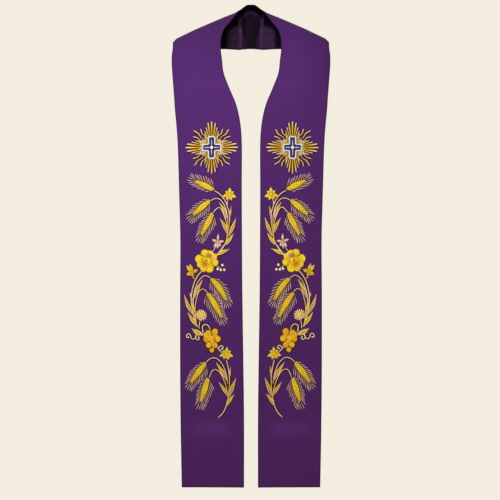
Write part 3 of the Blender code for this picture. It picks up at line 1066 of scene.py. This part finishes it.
def sunburst(work):
    """Straight rays to the four sides and wavy ones between them."""
    # dark grounds under the core and the straight rays: painted shadow between the raised rays
    work.knot(SUN, CORE, "umber silk and painted shadow", rise=GROUND)
    for middle in CARDINALS:
        reach, width = RAY_GROUND
        work.bar(spoke(SUN, middle, RAY_START, reach, 8), width, "umber silk and painted shadow", shape=RAY,
                 rise=GROUND)
    for i in range(CORE_RAYS):
        angle = 360.0 * (i + 0.5) / CORE_RAYS
        route = spoke(SUN, angle, CORE_START, CORE + CORE_STAGGER * (i % 2))
        work.bar(route, CORE_WIDTH, "gold silk", shape=RAY, rise=0.0008, tones=(0.3, 0.8),
                 rings=8, caps=2.4)
    for middle in CARDINALS:
        for angle, reach, width in WAVY_RAYS:
            bearing = middle + 45.0 + angle
            height = math.copysign(RAY_WAVE, angle)
            route = wavy(turned(bearing, RAY_START, SUN), turned(bearing, reach, SUN), height)
            ray(work, route, width, "peach silk", 0.0009, 1.1, 0.32)
        upright = middle in (0.0, 180.0)
        for angle, reach, width in STRAIGHT_RAYS:
            start = turned(middle + angle * RAY_FAN, RAY_START, SUN)
            thick = width > 0.4
            tip = "pale gold silk" if thick and not upright else "peach silk"
            ray(work, straight(start, turned(middle + angle, reach, SUN), 10), width, tip,
                0.0013 if thick else 0.0009, 0.9 if upright else 1.3)


def plain_cross(work):
    """A silver-edged cross with a violet filling and silver curls beside it."""
    a, h = SUN
    tall, wide, half = CROSS
    middle = Vector(SUN)
    for reach, way in ((tall, Vector((0.0, -1.0))), (wide, Vector((1.0, 0.0)))):
        arm = straight(middle - way * (reach - 0.1), middle + way * (reach - 0.1), 10)
        work.bar(arm, 2.0 * half, "violet silk", rise=0.0012, over=0.0004, rings=12,
                 sides=8, caps=2.6, tones=(0.5, 0.7))
    corners = [Vector((a + x, h + z)) for x, z in (
        (half, tall), (half, half), (wide, half), (wide, -half), (half, -half), (half, -tall),
        (-half, -tall), (-half, -half), (-wide, -half), (-wide, half), (-half, half),
        (-half, tall))]
    for start, end in zip(corners, corners[1:] + corners[:1]):
        work.bar(straight(start, end), CROSS_EDGE, "silver silk", rise=0.0013, over=0.0008,
                 tones=(0.55, 0.95), rings=8, caps=3.0)
    for angle in CARDINALS:
        work.bar(spoke(SUN, angle, *CROSS_LINE, 4), CROSS_LINE_WIDTH, "silver silk",
                 shape=NEEDLE, rise=0.0009, over=0.0014, tones=(0.7, 1.0), rings=8)
    for angle in CURLS:
        heart = turned(angle, CURL_PLACE, SUN)
        curl = ring_points(heart, CURL, angle - 150.0, 50.0, 7)
        work.outline(curl, CURL_WIDTH, rings=16)
        work.bar(curl, CURL_WIDTH, "silver silk", rise=0.0010, over=0.0009, tones=(0.6, 0.95),
                 rings=16, caps=2.0)
        work.knot(heart, CURL_KNOT, "ivory silk", over=0.0008, tone=0.9)
    work.knot(SUN, CROSS_KNOT, "ivory silk", rise=0.0013, over=0.0012, tone=1.0)


def awn(work, place, heading, spread, reach, fine=False):
    """One bristle of an ear, fanning out and turning along it; spread in degrees."""
    right = right_of(heading)
    points = [place + right * (AWN_ROOT * max(-1.0, min(1.0, spread / TIP_AWN_TURN)))]
    for i in range(4):
        turn = math.radians(spread) * (1.06 - 0.10 * i)
        points.append(points[-1] + (heading * math.cos(turn) + right * math.sin(turn))
                      * (reach / 4.0))
    if fine:
        work.bar(points, SHADE_AWN_WIDTH, "gold silk", rise=0.0005, tones=(-0.4, 0.1), rings=6,
                 sides=4, caps=3.0)
        return
    work.outline(points, AWN_WIDTH, shape=BRISTLE, rings=6, rim=0.13)
    work.bar(points, AWN_WIDTH, "mauve silk", shape=BRISTLE, rise=0.0008, tones=(-0.3, 1.9),
             rings=7, sides=4, caps=3.0)


def bristles(work, route, lean):
    """Bristles along both sides of an ear and at its tip, leaning to one side."""
    draw = work.draws.uniform
    awns = round(run_lengths(route)[-1] / AWN_PITCH)
    for i in range(awns):
        for hand in (-1.0, 1.0):
            part = (i + 0.3 + 0.2 * hand) / awns
            for fine in ((False, True) if part < 0.8 else (False,)):
                place, heading = along_route(route, part + 0.45 * fine / awns)
                spread = hand * (AWN_SPREAD[0] - AWN_SPREAD[1] * part) * draw(0.96, 1.04)
                spread += lean * (0.2 + 0.8 * part)
                reach = (AWN_REACH[0] - AWN_REACH[1] * part) * draw(0.92, 1.05)
                if hand * lean <= 0.0:
                    reach *= min(1.0, 0.55 + 1.5 * part)
                if fine:
                    reach *= SHADE_AWN_SHARE
                awn(work, place, heading, spread, reach, fine)
    place, heading = along_route(route, 1.0)
    for i in range(TIP_AWNS):
        spread = TIP_AWN_TURN * (i - 0.5 * (TIP_AWNS - 1)) + 1.4 * lean
        awn(work, place - heading * 0.1, heading, spread, TIP_AWN_REACH * draw(0.92, 1.05))


def ear(work, base, tip, bend, lean):
    """A wheat ear: bristles, a gold ground and three rows of grains."""
    route = bowed(base, tip, bend, 14)
    draw = work.draws.uniform
    bristles(work, route, lean)
    work.outline(route, EAR_WIDTH + 0.06, shape=EAR, rings=14, over=0.0008)
    work.bar(route, EAR_WIDTH, "gold silk", shape=EAR, rise=0.0006, over=0.0009,
             tones=(0.2, 0.5), rings=14, caps=2.4)
    grains = round(run_lengths(route)[-1] / GRAIN_PITCH)
    for i in range(grains):
        for hand in (-1.0, 1.0, 0.0):
            part = (i + 0.25 + 0.25 * hand) / grains
            size = shape_at(EAR, part)
            place, heading = along_route(route, part)
            right = right_of(heading) * hand
            start = place + right * 0.16
            end = place + heading * 0.55 + right * (0.66 * size)
            thread = "gold silk" if hand != 0.0 and draw(0.0, 1.0) < 0.4 else "yellow silk"
            dark = 0.35 * ((i + int(hand)) % 2)
            work.bar(bowed(start, end, -0.12 * hand, 6), 0.54 * size, thread,
                     shape=GRAIN, rise=0.0013, over=0.0008 + 0.0005 * (hand == 0.0),
                     tones=(draw(0.6, 1.1) - dark, draw(1.4, 1.9) - 0.5 * dark), rings=8,
                     caps=1.5)


def leaf(work, tip, base, width, bend, thread):
    """A leaf in two halves with pale margins and a dark vein."""
    route = bowed(base, tip, bend)
    work.outline(route, width, shape=LEAF, rings=14)
    pale = "pale gold silk" if thread == "yellow silk" else "peach silk"
    for hand in (-1.0, 1.0):
        half = []
        margin = []
        for i in range(13):
            place, heading = along_route(route, i / 12)
            right = right_of(heading) * hand
            spread = 0.5 * width * shape_at(LEAF, i / 12)
            half.append(place + right * (0.5 * spread))
            margin.append(place + right * (0.86 * spread))
        work.bar(half, width * 0.52, thread, shape=LEAF, rise=0.0010,
                 tones=(0.35, 0.90 + 0.15 * hand), rings=12, caps=2.4)
        work.bar(margin, LEAF_MARGIN, pale, shape=NEEDLE, rise=0.0008, over=0.0004,
                 tones=(0.9, 1.4), rings=12, sides=4, caps=2.0)
    work.line(route[:10], LEAF_VEIN, "orange silk", 0.0005, 0.0007, (0.0, 0.2), rings=8)


def near_join(point):
    """How far a place is from the nearest join of stems."""
    return min((point - Vector(join)).length for join in JOINS)


def stem(work, width, *points):
    """A stem worked as a narrow cord of stitches, gold towards its join."""
    route = smooth_route([Vector(p) for p in points], 20)
    work.outline(route, width, rings=22)
    work.bar(route, width, "peach silk", rise=0.0008, over=0.0001, tones=(0.9, 1.3),
             rings=22, caps=3.0)
    work.bar(route, width * 0.42, "pale gold silk", rise=0.0006, over=0.0005,
             tones=(0.2, 0.7), rings=22, sides=4, caps=3.0)
    near = [p for p in route if near_join(p) < JOIN_REACH]
    if len(near) > 3 and len(points) > 3:
        if near_join(near[0]) > near_join(near[-1]):
            near.reverse()
        work.bar(near, width * 0.9, "gold silk", shape=NEARING, rise=0.0006, over=0.0007,
                 tones=(0.9, 1.3), rings=len(near) + 2, sides=4, caps=3.0)


def tendril(work, points):
    """A curl of cord ending in a knot."""
    route = smooth_route([Vector(p) for p in points], 30)
    work.outline(route, TENDRIL_WIDTH, rings=26)
    work.bar(route, TENDRIL_WIDTH, "pale gold silk", rise=0.0008, over=0.0001,
             tones=(0.6, 1.1), rings=26, caps=3.0)
    work.knot(route[-1], TENDRIL_KNOT, "pale gold silk", rise=0.0009, over=0.0001, tone=1.0)


def flower(work, centre, petals, heart, heart_thread, tips=None):
    """A flower of pointed petals, each worked along its length, and its heart."""
    for angle, reach, width, thread in petals:
        work.outline(spoke(centre, angle, 0.0, reach), width, shape=POINTED)
    for number, (angle, reach, width, thread) in enumerate(petals):
        over = LOWEST + PETAL_STEP * number
        work.bar(spoke(centre, angle, 0.10, reach), width, thread, shape=POINTED, rise=0.0010,
                 over=over, tones=(0.2, 1.05), sides=8, lengthwise=True, caps=1.7)
        work.bar(spoke(centre, angle, 0.55 * reach, reach, 4), 0.42 * width, tips or thread,
                 shape=POINTED, rise=0.0008, over=over + 0.0004, tones=(0.1, 0.9), rings=6,
                 lengthwise=True, caps=2.0)
        work.line(spoke(centre, angle, 0.15, 0.55 * reach, 4), 0.09, "orange silk", 0.0004,
                  over + 0.0009, (0.0, 0.2))
    work.knot(centre, heart + 0.10, "orange silk", rise=0.0006, over=0.0013, tone=0.2)
    work.knot(centre, heart, heart_thread, over=0.0014, tone=1.0)


def lobe(work, centre, angle, middle, radius, thread, over):
    """One rounded lobe of the blossom, with its rim, knotted edge and folds."""
    heart = turned(angle, middle, centre)
    spread = ((0.0, 0.35), (middle / (middle + radius), 1.0), (1.0, 0.85))
    work.bar(spoke(centre, angle, 0.15, middle + radius), 2.0 * radius, thread, shape=spread,
             rise=0.0013, over=over, tones=(0.4, 1.1), rings=14, sides=10, lengthwise=True,
             caps=1.5)
    rim = ring_points(heart, radius * 0.86, angle - 105.0, 21.0, 11)
    work.bar(rim, 0.19, "gold silk", rise=0.0011, over=over + 0.0006, tones=(1.1, 1.3),
             rings=18, sides=5, caps=2.4)
    count, apart, size = LOBE_KNOTS
    first = angle - 0.5 * apart * (count - 1)
    for i, place in enumerate(ring_points(heart, radius * 0.90, first, apart, count)):
        work.knot(place, size, "yellow silk", rise=0.0014, over=over,
                  tone=0.7 + 0.5 * (i % 2))
    for lean in (-15.0, 0.0, 15.0):
        fold = straight(turned(angle + 0.6 * lean, 0.9, centre),
                        turned(angle + lean, middle + 0.35 * radius, centre), 4)
        work.line(fold, 0.17, "orange silk", 0.0004, over + 0.0012, (0.3, 0.9))


def blossom(work, centre):
    """The large open flower: rounded lobes, orange shading and a mauve throat."""
    # dark grounds under the blossom and its lobes: painted shadow round them
    work.knot(centre, 1.8, "umber silk and painted shadow", rise=THICK_GROUND)
    for angle, middle, radius, _ in LOBES:
        work.knot(turned(angle, middle, centre), radius + SHADOW_RIM, "umber silk and painted shadow",
                  rise=THICK_GROUND)
    for number, row in enumerate(LOBES):
        lobe(work, centre, *row, LOWEST + PETAL_STEP * number)
    first, apart, count = SHADED
    for i in range(count):
        work.line(spoke(centre, first + apart * i, 0.5, 1.5 + 0.5 * (i % 2)), 0.16,
                  "orange silk", 0.0005, 0.0021, (0.2, 0.9))
    throat = turned(*THROAT, centre)
    work.knot(throat, 0.70, "orange silk", rise=0.0007, over=0.0018, tone=0.3)
    work.knot(throat, 0.50, "mauve silk", rise=0.0007, over=0.0022, tone=0.15)
    reach, apart, count = THROAT_DOTS
    for place in ring_points(throat, reach, 0.0, apart, count):
        work.knot(place, 0.08, "umber silk and painted shadow", rise=0.0005, over=0.0027, tone=0.9)
    work.knot(turned(*SPOT, centre), 0.50, "yellow silk", over=0.0020, tone=1.0)


def rosette(work, centre):
    """A small many-petalled flower with a yellow heart."""
    # dark ground under the rosette: painted shadow round its petals
    work.knot(centre, 1.25, "umber silk and painted shadow", rise=GROUND)
    start, reach, width = ROSETTE_PETAL
    for i in range(ROSETTE_PETALS):
        angle = 360.0 * i / ROSETTE_PETALS
        longer = 0.08 * math.cos(math.radians(2.0 * angle - 90.0))
        route = spoke(centre, angle, start, reach + longer)
        work.outline(route, width, shape=PETAL)
        work.bar(route, width, ("peach silk", "pale gold silk")[i % 2], shape=PETAL,
                 rise=0.0010, over=LOWEST, tones=(0.1, 1.3), lengthwise=True, caps=1.7)
    for i in range(ROSETTE_HEART):
        angle = 360.0 * i / ROSETTE_HEART + 12.0
        work.bar(spoke(centre, angle, 0.05, 0.76, 4), 0.30, "yellow silk", shape=PETAL,
                 rise=0.0009, over=0.0009, tones=(0.7, 1.3), rings=8, lengthwise=True,
                 caps=1.7)
    work.knot(centre, 0.30, "yellow silk", rise=0.0009, over=0.0013, tone=1.0)


def grapes(work):
    """A bunch of round grapes, each a padded dot with a stitched rim, a darker edge of painted
    shade and a painted highlight.
    """
    for centre, radius in GRAPES:
        # dark grounds under the grapes: painted shadow between them
        work.knot(centre, radius + SHADOW_RIM, "umber silk and painted shadow", rise=THICK_GROUND)
    for number, (centre, radius) in enumerate(GRAPES):
        over = LOWEST + GRAPE_STEP * number
        # the darker dot showing round each grape's edge is painted shade
        work.knot(centre, radius, "orange silk", rise=0.0013, over=over, tone=-0.2)
        work.knot(centre, radius * 0.92, "orange silk", rise=0.0017, over=over,
                  tone=0.70 + 0.3 * (number % 2))
        work.bar(ring_points(centre, radius * 0.76, 0.0, 30.0, 13), 0.15, "gold silk",
                 rise=0.0009, over=over + 0.0007, tones=(0.7, 1.0), rings=18, sides=4,
                 caps=3.0)
        # painted highlight: a yellow shine at the upper left of each grape
        work.line(ring_points(centre, radius * 0.40, -70.0, 25.0, 4), 0.20, "yellow silk",
                  0.0005, over + 0.0014, (0.9, 1.0), shape=BLUNT)


def daffodil(work, centre):
    """A yellow flower with pale tips."""
    flower(work, centre, DAFFODIL_PETALS, 0.36, "yellow silk", "pale gold silk")


def upper_flowers(work):
    """A daffodil and the pink star."""
    daffodil(work, UPPER_DAFFODIL)
    flower(work, STAR, STAR_PETALS, 0.22, "gold silk", "ivory silk")


def middle_flowers(work):
    """White berries, the blossom, its bud and the rosette."""
    for centre in BERRIES:
        # dark ground under each berry: painted shadow round it
        work.knot(centre, BERRY_RADIUS + SHADOW_RIM, "umber silk and painted shadow", rise=THICK_GROUND)
        work.knot(centre, BERRY_RADIUS, "ivory silk", rise=0.0011, tone=0.9)
    blossom(work, BLOSSOM)
    flower(work, BUD, BUD_PETALS, 0.30, "orange silk")
    rosette(work, ROSETTE)


def lower_flowers(work):
    """Tendrils, grapes and a daffodil."""
    for points in TENDRILS:
        tendril(work, points)
    grapes(work)
    daffodil(work, LOWER_DAFFODIL)


def spray(work, top, bottom, flowers):
    """The stems, leaves and ears between two heights, and their flowers."""
    for width, *points in STEMS:
        if bottom <= points[0][1] < top:
            stem(work, width * STEM_PADDING, *points)
    for row in LEAVES:
        if bottom <= row[0][1] < top:
            leaf(work, *row)
    for row in EARS:
        if bottom <= row[0][1] < top:
            ear(work, *row)
    flowers(work)


def edge_stitches(materials):
    """The row of small stitches that holds each lining along its edges."""
    work = Stitching(EDGE_SEED)

    def stitch(start, end, tone):
        """One short stitch, with its tone."""
        work.bar(straight(Vector(start), Vector(end), 2), STITCH_WIDTH, "lining thread",
                 rise=0.0004, tones=(tone, tone), rings=5, sides=4)

    halves = [(sided_point(line, 1.0) - sided_point(line, 0.0)).length / CM * 0.5 - STITCH_INSET
              for line in LINING_LINES]
    end = (len(LINING_LINES) - 1) * LINING_STEP - STITCH_END
    along = STITCH_START
    while along < end:
        reaches = [(run, halves[min(len(halves) - 1, round(run / LINING_STEP))])
                   for run in (along, along + STITCH)]
        # painted shade: stitches darker towards the neck seam
        for hand in (-1.0, 1.0):
            stitch(*[(hand * reach, run) for run, reach in reaches],
                   blend(*STITCH_TONE, along))
        along += STITCH_PITCH
    across = -halves[-1]
    while across < halves[-1] - STITCH:
        stitch((across, end), (across + STITCH, end), 1.0)
        across += STITCH_PITCH
    return work.finish("edge_stitches", materials, (0.0, 0.0), on_lining)


def embroider(materials):
    """All the embroidery, both bands."""
    work = Stitching(SUN_SEED)
    sunburst(work)
    pieces = work.finish("sunburst", materials, SUN_SHIFT)
    work = Stitching(CROSS_SEED)
    plain_cross(work)
    pieces += work.finish("silver_cross", materials, SUN_SHIFT)
    sprays = (("upper_spray", upper_flowers), ("middle_spray", middle_flowers),
              ("lower_spray", lower_flowers))
    for number, (name, flowers) in enumerate(sprays):
        work = Stitching(SPRAY_SEED + number)
        spray(work, SPRAY_ENDS[number], SPRAY_ENDS[number + 1], flowers)
        pieces += work.finish(name, materials, SPRAY_SHIFT)
    return pieces


# ---- materials --------------------------------------------------------------------------
def new_group(name, inputs, outputs):
    """A shader node group with its sockets; returns it and both end nodes."""
    group = bpy.data.node_groups.new(name, "ShaderNodeTree")
    for label, kind, value in inputs:
        socket = group.interface.new_socket(label, in_out="INPUT", socket_type=kind)
        socket.default_value = value
    for label, kind in outputs:
        group.interface.new_socket(label, in_out="OUTPUT", socket_type=kind)
    return group, group.nodes.new("NodeGroupInput"), group.nodes.new("NodeGroupOutput")


def math_node(group, operation, first, second=None, third=None):
    """A Math node with each input linked or set; returns its output."""
    node = group.nodes.new("ShaderNodeMath")
    node.operation = operation
    for socket, value in zip(node.inputs, (first, second, third)):
        if value is None:
            continue
        if isinstance(value, (int, float)):
            socket.default_value = value
        else:
            group.links.new(value, socket)
    return node.outputs[0]


def mix_colours(group, factor, first, second, beyond=False):
    """A mix of two colours; beyond lets the factor pass 1."""
    node = group.nodes.new("ShaderNodeMix")
    node.data_type = "RGBA"
    node.clamp_factor = not beyond
    for socket, value in zip((node.inputs[0], node.inputs[6], node.inputs[7]),
                             (factor, first, second)):
        if isinstance(value, bpy.types.NodeSocket):
            group.links.new(value, socket)
        else:
            socket.default_value = value
    return node.outputs[2]


def uv_parts(group, uv_name):
    """Both coordinates of a UV map, in metres."""
    uv = group.nodes.new("ShaderNodeUVMap")
    uv.uv_map = uv_name
    split = group.nodes.new("ShaderNodeSeparateXYZ")
    group.links.new(uv.outputs[0], split.inputs[0])
    return uv.outputs[0], split.outputs[0], split.outputs[1]


def noise_value(group, vector, scale, detail=2.0):
    """Soft noise from 0 to 1."""
    node = group.nodes.new("ShaderNodeTexNoise")
    node.inputs["Scale"].default_value = scale
    node.inputs["Detail"].default_value = detail
    group.links.new(vector, node.inputs["Vector"])
    return node.outputs[0]


def stretched(group, vector, scale):
    """Coordinates scaled apart on each axis."""
    node = group.nodes.new("ShaderNodeMapping")
    node.inputs["Scale"].default_value = scale
    group.links.new(vector, node.inputs["Vector"])
    return node.outputs[0]


def ridges(group, distance, spacing):
    """Even ridges across a distance, one for each spacing."""
    turns = math_node(group, "MULTIPLY", distance, 2.0 * math.pi)
    return math_node(group, "SINE", math_node(group, "DIVIDE", turns, spacing))


def weave_group():
    """Warp and weft of a woven cloth: colour between two shades, scaled by the painted shade
    and light the cloth carries, and height.
    """
    group, start, end = new_group(
        "woven cloth",
        (("Light", "NodeSocketColor", (1, 1, 1, 1)), ("Shade", "NodeSocketColor", (0, 0, 0, 1)),
         ("Rib", "NodeSocketFloat", 0.0009), ("Warp", "NodeSocketFloat", 0.0005),
         ("Rib Depth", "NodeSocketFloat", 1.0)),
        (("Colour", "NodeSocketColor"), ("Height", "NodeSocketFloat")))
    vector, across, along = uv_parts(group, "cloth")
    rib = ridges(group, along, start.outputs["Rib"])
    warp = ridges(group, across, start.outputs["Warp"])
    slub = noise_value(group, stretched(group, vector, (60.0, 900.0, 1.0)), 1.0)
    mottle = noise_value(group, vector, 26.0, 3.0)
    height = math_node(group, "MULTIPLY_ADD", rib, start.outputs["Rib Depth"],
                       math_node(group, "MULTIPLY", warp, 0.35))
    height = math_node(group, "MULTIPLY_ADD", slub, 1.2, height)
    shade = math_node(group, "MULTIPLY_ADD", height, 0.09, 0.40)
    shade = math_node(group, "MULTIPLY_ADD", mottle, 0.35, math_node(
        group, "SUBTRACT", shade, 0.17))
    colour = mix_colours(group, shade, start.outputs["Shade"], start.outputs["Light"])
    # the colour scaled by the painted shade and light in the cloth's 'shade' attribute
    depth = group.nodes.new("ShaderNodeAttribute")
    depth.attribute_name = "shade"
    colour = mix_colours(group, depth.outputs["Fac"], (0.0, 0.0, 0.0, 1.0), colour,
                         beyond=True)
    group.links.new(colour, end.inputs["Colour"])
    group.links.new(height, end.inputs["Height"])
    return group


def stitch_group():
    """Side-by-side silk stitches: colour from shade to light, and height."""
    group, start, end = new_group(
        "satin stitches",
        (("Light", "NodeSocketColor", (1, 1, 1, 1)), ("Shade", "NodeSocketColor", (0, 0, 0, 1)),
         ("Pitch", "NodeSocketFloat", STITCH_SPACING)),
        (("Colour", "NodeSocketColor"), ("Height", "NodeSocketFloat")))
    run, reach = uv_parts(group, "thread")[1:]
    lean = math_node(group, "MULTIPLY_ADD", reach, 0.35, run)
    turns = math_node(group, "DIVIDE", lean, start.outputs["Pitch"])
    wave = math_node(group, "SINE", math_node(group, "MULTIPLY", turns, 2.0 * math.pi))
    strand = group.nodes.new("ShaderNodeTexWhiteNoise")
    strand.noise_dimensions = "1D"
    group.links.new(math_node(group, "FLOOR", math_node(group, "ADD", turns, 0.25)),
                    strand.inputs["W"])
    tone = group.nodes.new("ShaderNodeAttribute")
    tone.attribute_name = "tone"
    shade = math_node(group, "MULTIPLY_ADD", strand.outputs[0], 0.22, tone.outputs["Fac"])
    shade = math_node(group, "MULTIPLY_ADD", wave, 0.10, math_node(
        group, "SUBTRACT", shade, 0.11))
    limit = group.nodes.new("ShaderNodeClamp")
    group.links.new(shade, limit.inputs[0])
    colour = mix_colours(group, limit.outputs[0], start.outputs["Shade"],
                         start.outputs["Light"])
    group.links.new(colour, end.inputs["Colour"])
    group.links.new(wave, end.inputs["Height"])
    return group


def finish_material(name, group, values, roughness, relief, specular, sheen=0.0,
                    tint=(1, 1, 1, 1)):
    """A material whose colour and bump come from a node group."""
    material = bpy.data.materials.new(name)
    material.use_nodes = True
    nodes = material.node_tree.nodes
    links = material.node_tree.links
    shader = nodes["Principled BSDF"]
    effect = nodes.new("ShaderNodeGroup")
    effect.node_tree = group
    for label, value in values.items():
        effect.inputs[label].default_value = value
    links.new(effect.outputs["Colour"], shader.inputs["Base Color"])
    bump = nodes.new("ShaderNodeBump")
    bump.inputs["Strength"].default_value = 1.0
    bump.inputs["Distance"].default_value = relief
    links.new(effect.outputs["Height"], bump.inputs["Height"])
    links.new(bump.outputs["Normal"], shader.inputs["Normal"])
    shader.inputs["Roughness"].default_value = roughness
    shader.inputs["Sheen Weight"].default_value = sheen
    shader.inputs["Sheen Tint"].default_value = tint
    shader.inputs["Specular IOR Level"].default_value = specular
    return material


def make_materials():
    """All finishes by name: both cloths, then the threads."""
    weave = weave_group()
    stitches = stitch_group()
    made = {
        "face_cloth": finish_material(
            "purple faille", weave,
            {"Light": (0.090, 0.0215, 0.150, 1), "Shade": (0.050, 0.0090, 0.086, 1),
             "Rib": 0.0009, "Warp": 0.00045, "Rib Depth": 1.0},
            0.75, 0.00006, 0.08, sheen=0.015, tint=(0.75, 0.55, 1.0, 1)),
        "lining": finish_material(
            "aubergine satin", weave,
            {"Light": (0.034, 0.013, 0.040, 1), "Shade": (0.014, 0.005, 0.017, 1),
             "Rib": 0.0004, "Warp": 0.0004, "Rib Depth": 0.5},
            0.50, 0.00002, 0.02),
    }
    for name, light, shade, roughness in THREADS:
        made[name] = finish_material(
            name, stitches,
            {"Light": light + (1,), "Shade": shade + (1,), "Pitch": STITCH_SPACING},
            roughness, 0.00012, 0.18)
    return made


# ---- stage ---------------------------------------------------------------------------------
def add_floor():
    """A plain pale disc under the stole."""
    material = bpy.data.materials.new("pale floor")
    material.use_nodes = True
    shader = material.node_tree.nodes["Principled BSDF"]
    shader.inputs["Base Color"].default_value = FLOOR_COLOUR
    shader.inputs["Roughness"].default_value = 0.7
    bm = bmesh.new()
    bmesh.ops.create_circle(bm, cap_ends=True, segments=96, radius=FLOOR_RADIUS)
    bmesh.ops.translate(bm, verts=bm.verts, vec=(0.0, 0.0, FLOOR_Z))
    floor = make_object("floor", bm, [material])


def add_light(name, place, target, size, power, colour):
    """A soft panel of light aimed at a target."""
    light = bpy.data.lights.new(name, "AREA")
    light.shape = "RECTANGLE"
    light.size, light.size_y = size
    light.energy = power
    light.color = colour
    lamp = bpy.data.objects.new(name, light)
    lamp.location = place
    lamp.visible_camera = False
    aim = Vector(target) - Vector(place)
    lamp.rotation_euler = aim.to_track_quat("-Z", "Y").to_euler()
    bpy.context.scene.collection.objects.link(lamp)


def add_backdrop(scene):
    """A pale backdrop in the view, and a warmer, weaker light all round."""
    world = bpy.data.worlds.new("studio")
    world.use_nodes = True
    nodes = world.node_tree.nodes
    links = world.node_tree.links
    seen = nodes["Background"]
    seen.inputs["Color"].default_value = BACKDROP
    seen.inputs["Strength"].default_value = 1.0
    soft = nodes.new("ShaderNodeBackground")
    soft.inputs["Color"].default_value = AMBIENT
    soft.inputs["Strength"].default_value = AMBIENT_STRENGTH
    path = nodes.new("ShaderNodeLightPath")
    pick = nodes.new("ShaderNodeMixShader")
    links.new(path.outputs["Is Camera Ray"], pick.inputs[0])
    links.new(soft.outputs[0], pick.inputs[1])
    links.new(seen.outputs[0], pick.inputs[2])
    links.new(pick.outputs[0], nodes["World Output"].inputs["Surface"])
    scene.world = world


def add_camera(scene):
    """The camera, level and straight in front."""
    camera = bpy.data.cameras.new("camera")
    camera.sensor_width = SENSOR
    camera.lens = SENSOR * (BANDS_Y - CAMERA_PLACE[1]) / FRAME_WIDTH
    eye = bpy.data.objects.new("camera", camera)
    eye.location = CAMERA_PLACE
    eye.rotation_euler = (math.radians(90.0), 0.0, 0.0)
    scene.collection.objects.link(eye)
    scene.camera = eye


def add_stage():
    """Backdrop, floor, lights and camera."""
    scene = bpy.context.scene
    scene.view_settings.view_transform = "Standard"
    add_backdrop(scene)
    add_floor()
    for row in LIGHTS:
        add_light(*row)
    add_camera(scene)


def main():
    """The whole stole on its stage."""
    materials = make_materials()
    made = build_cloth(materials)
    embroidery = embroider(materials)
    stitches = edge_stitches(materials)
    add_stage()


main()
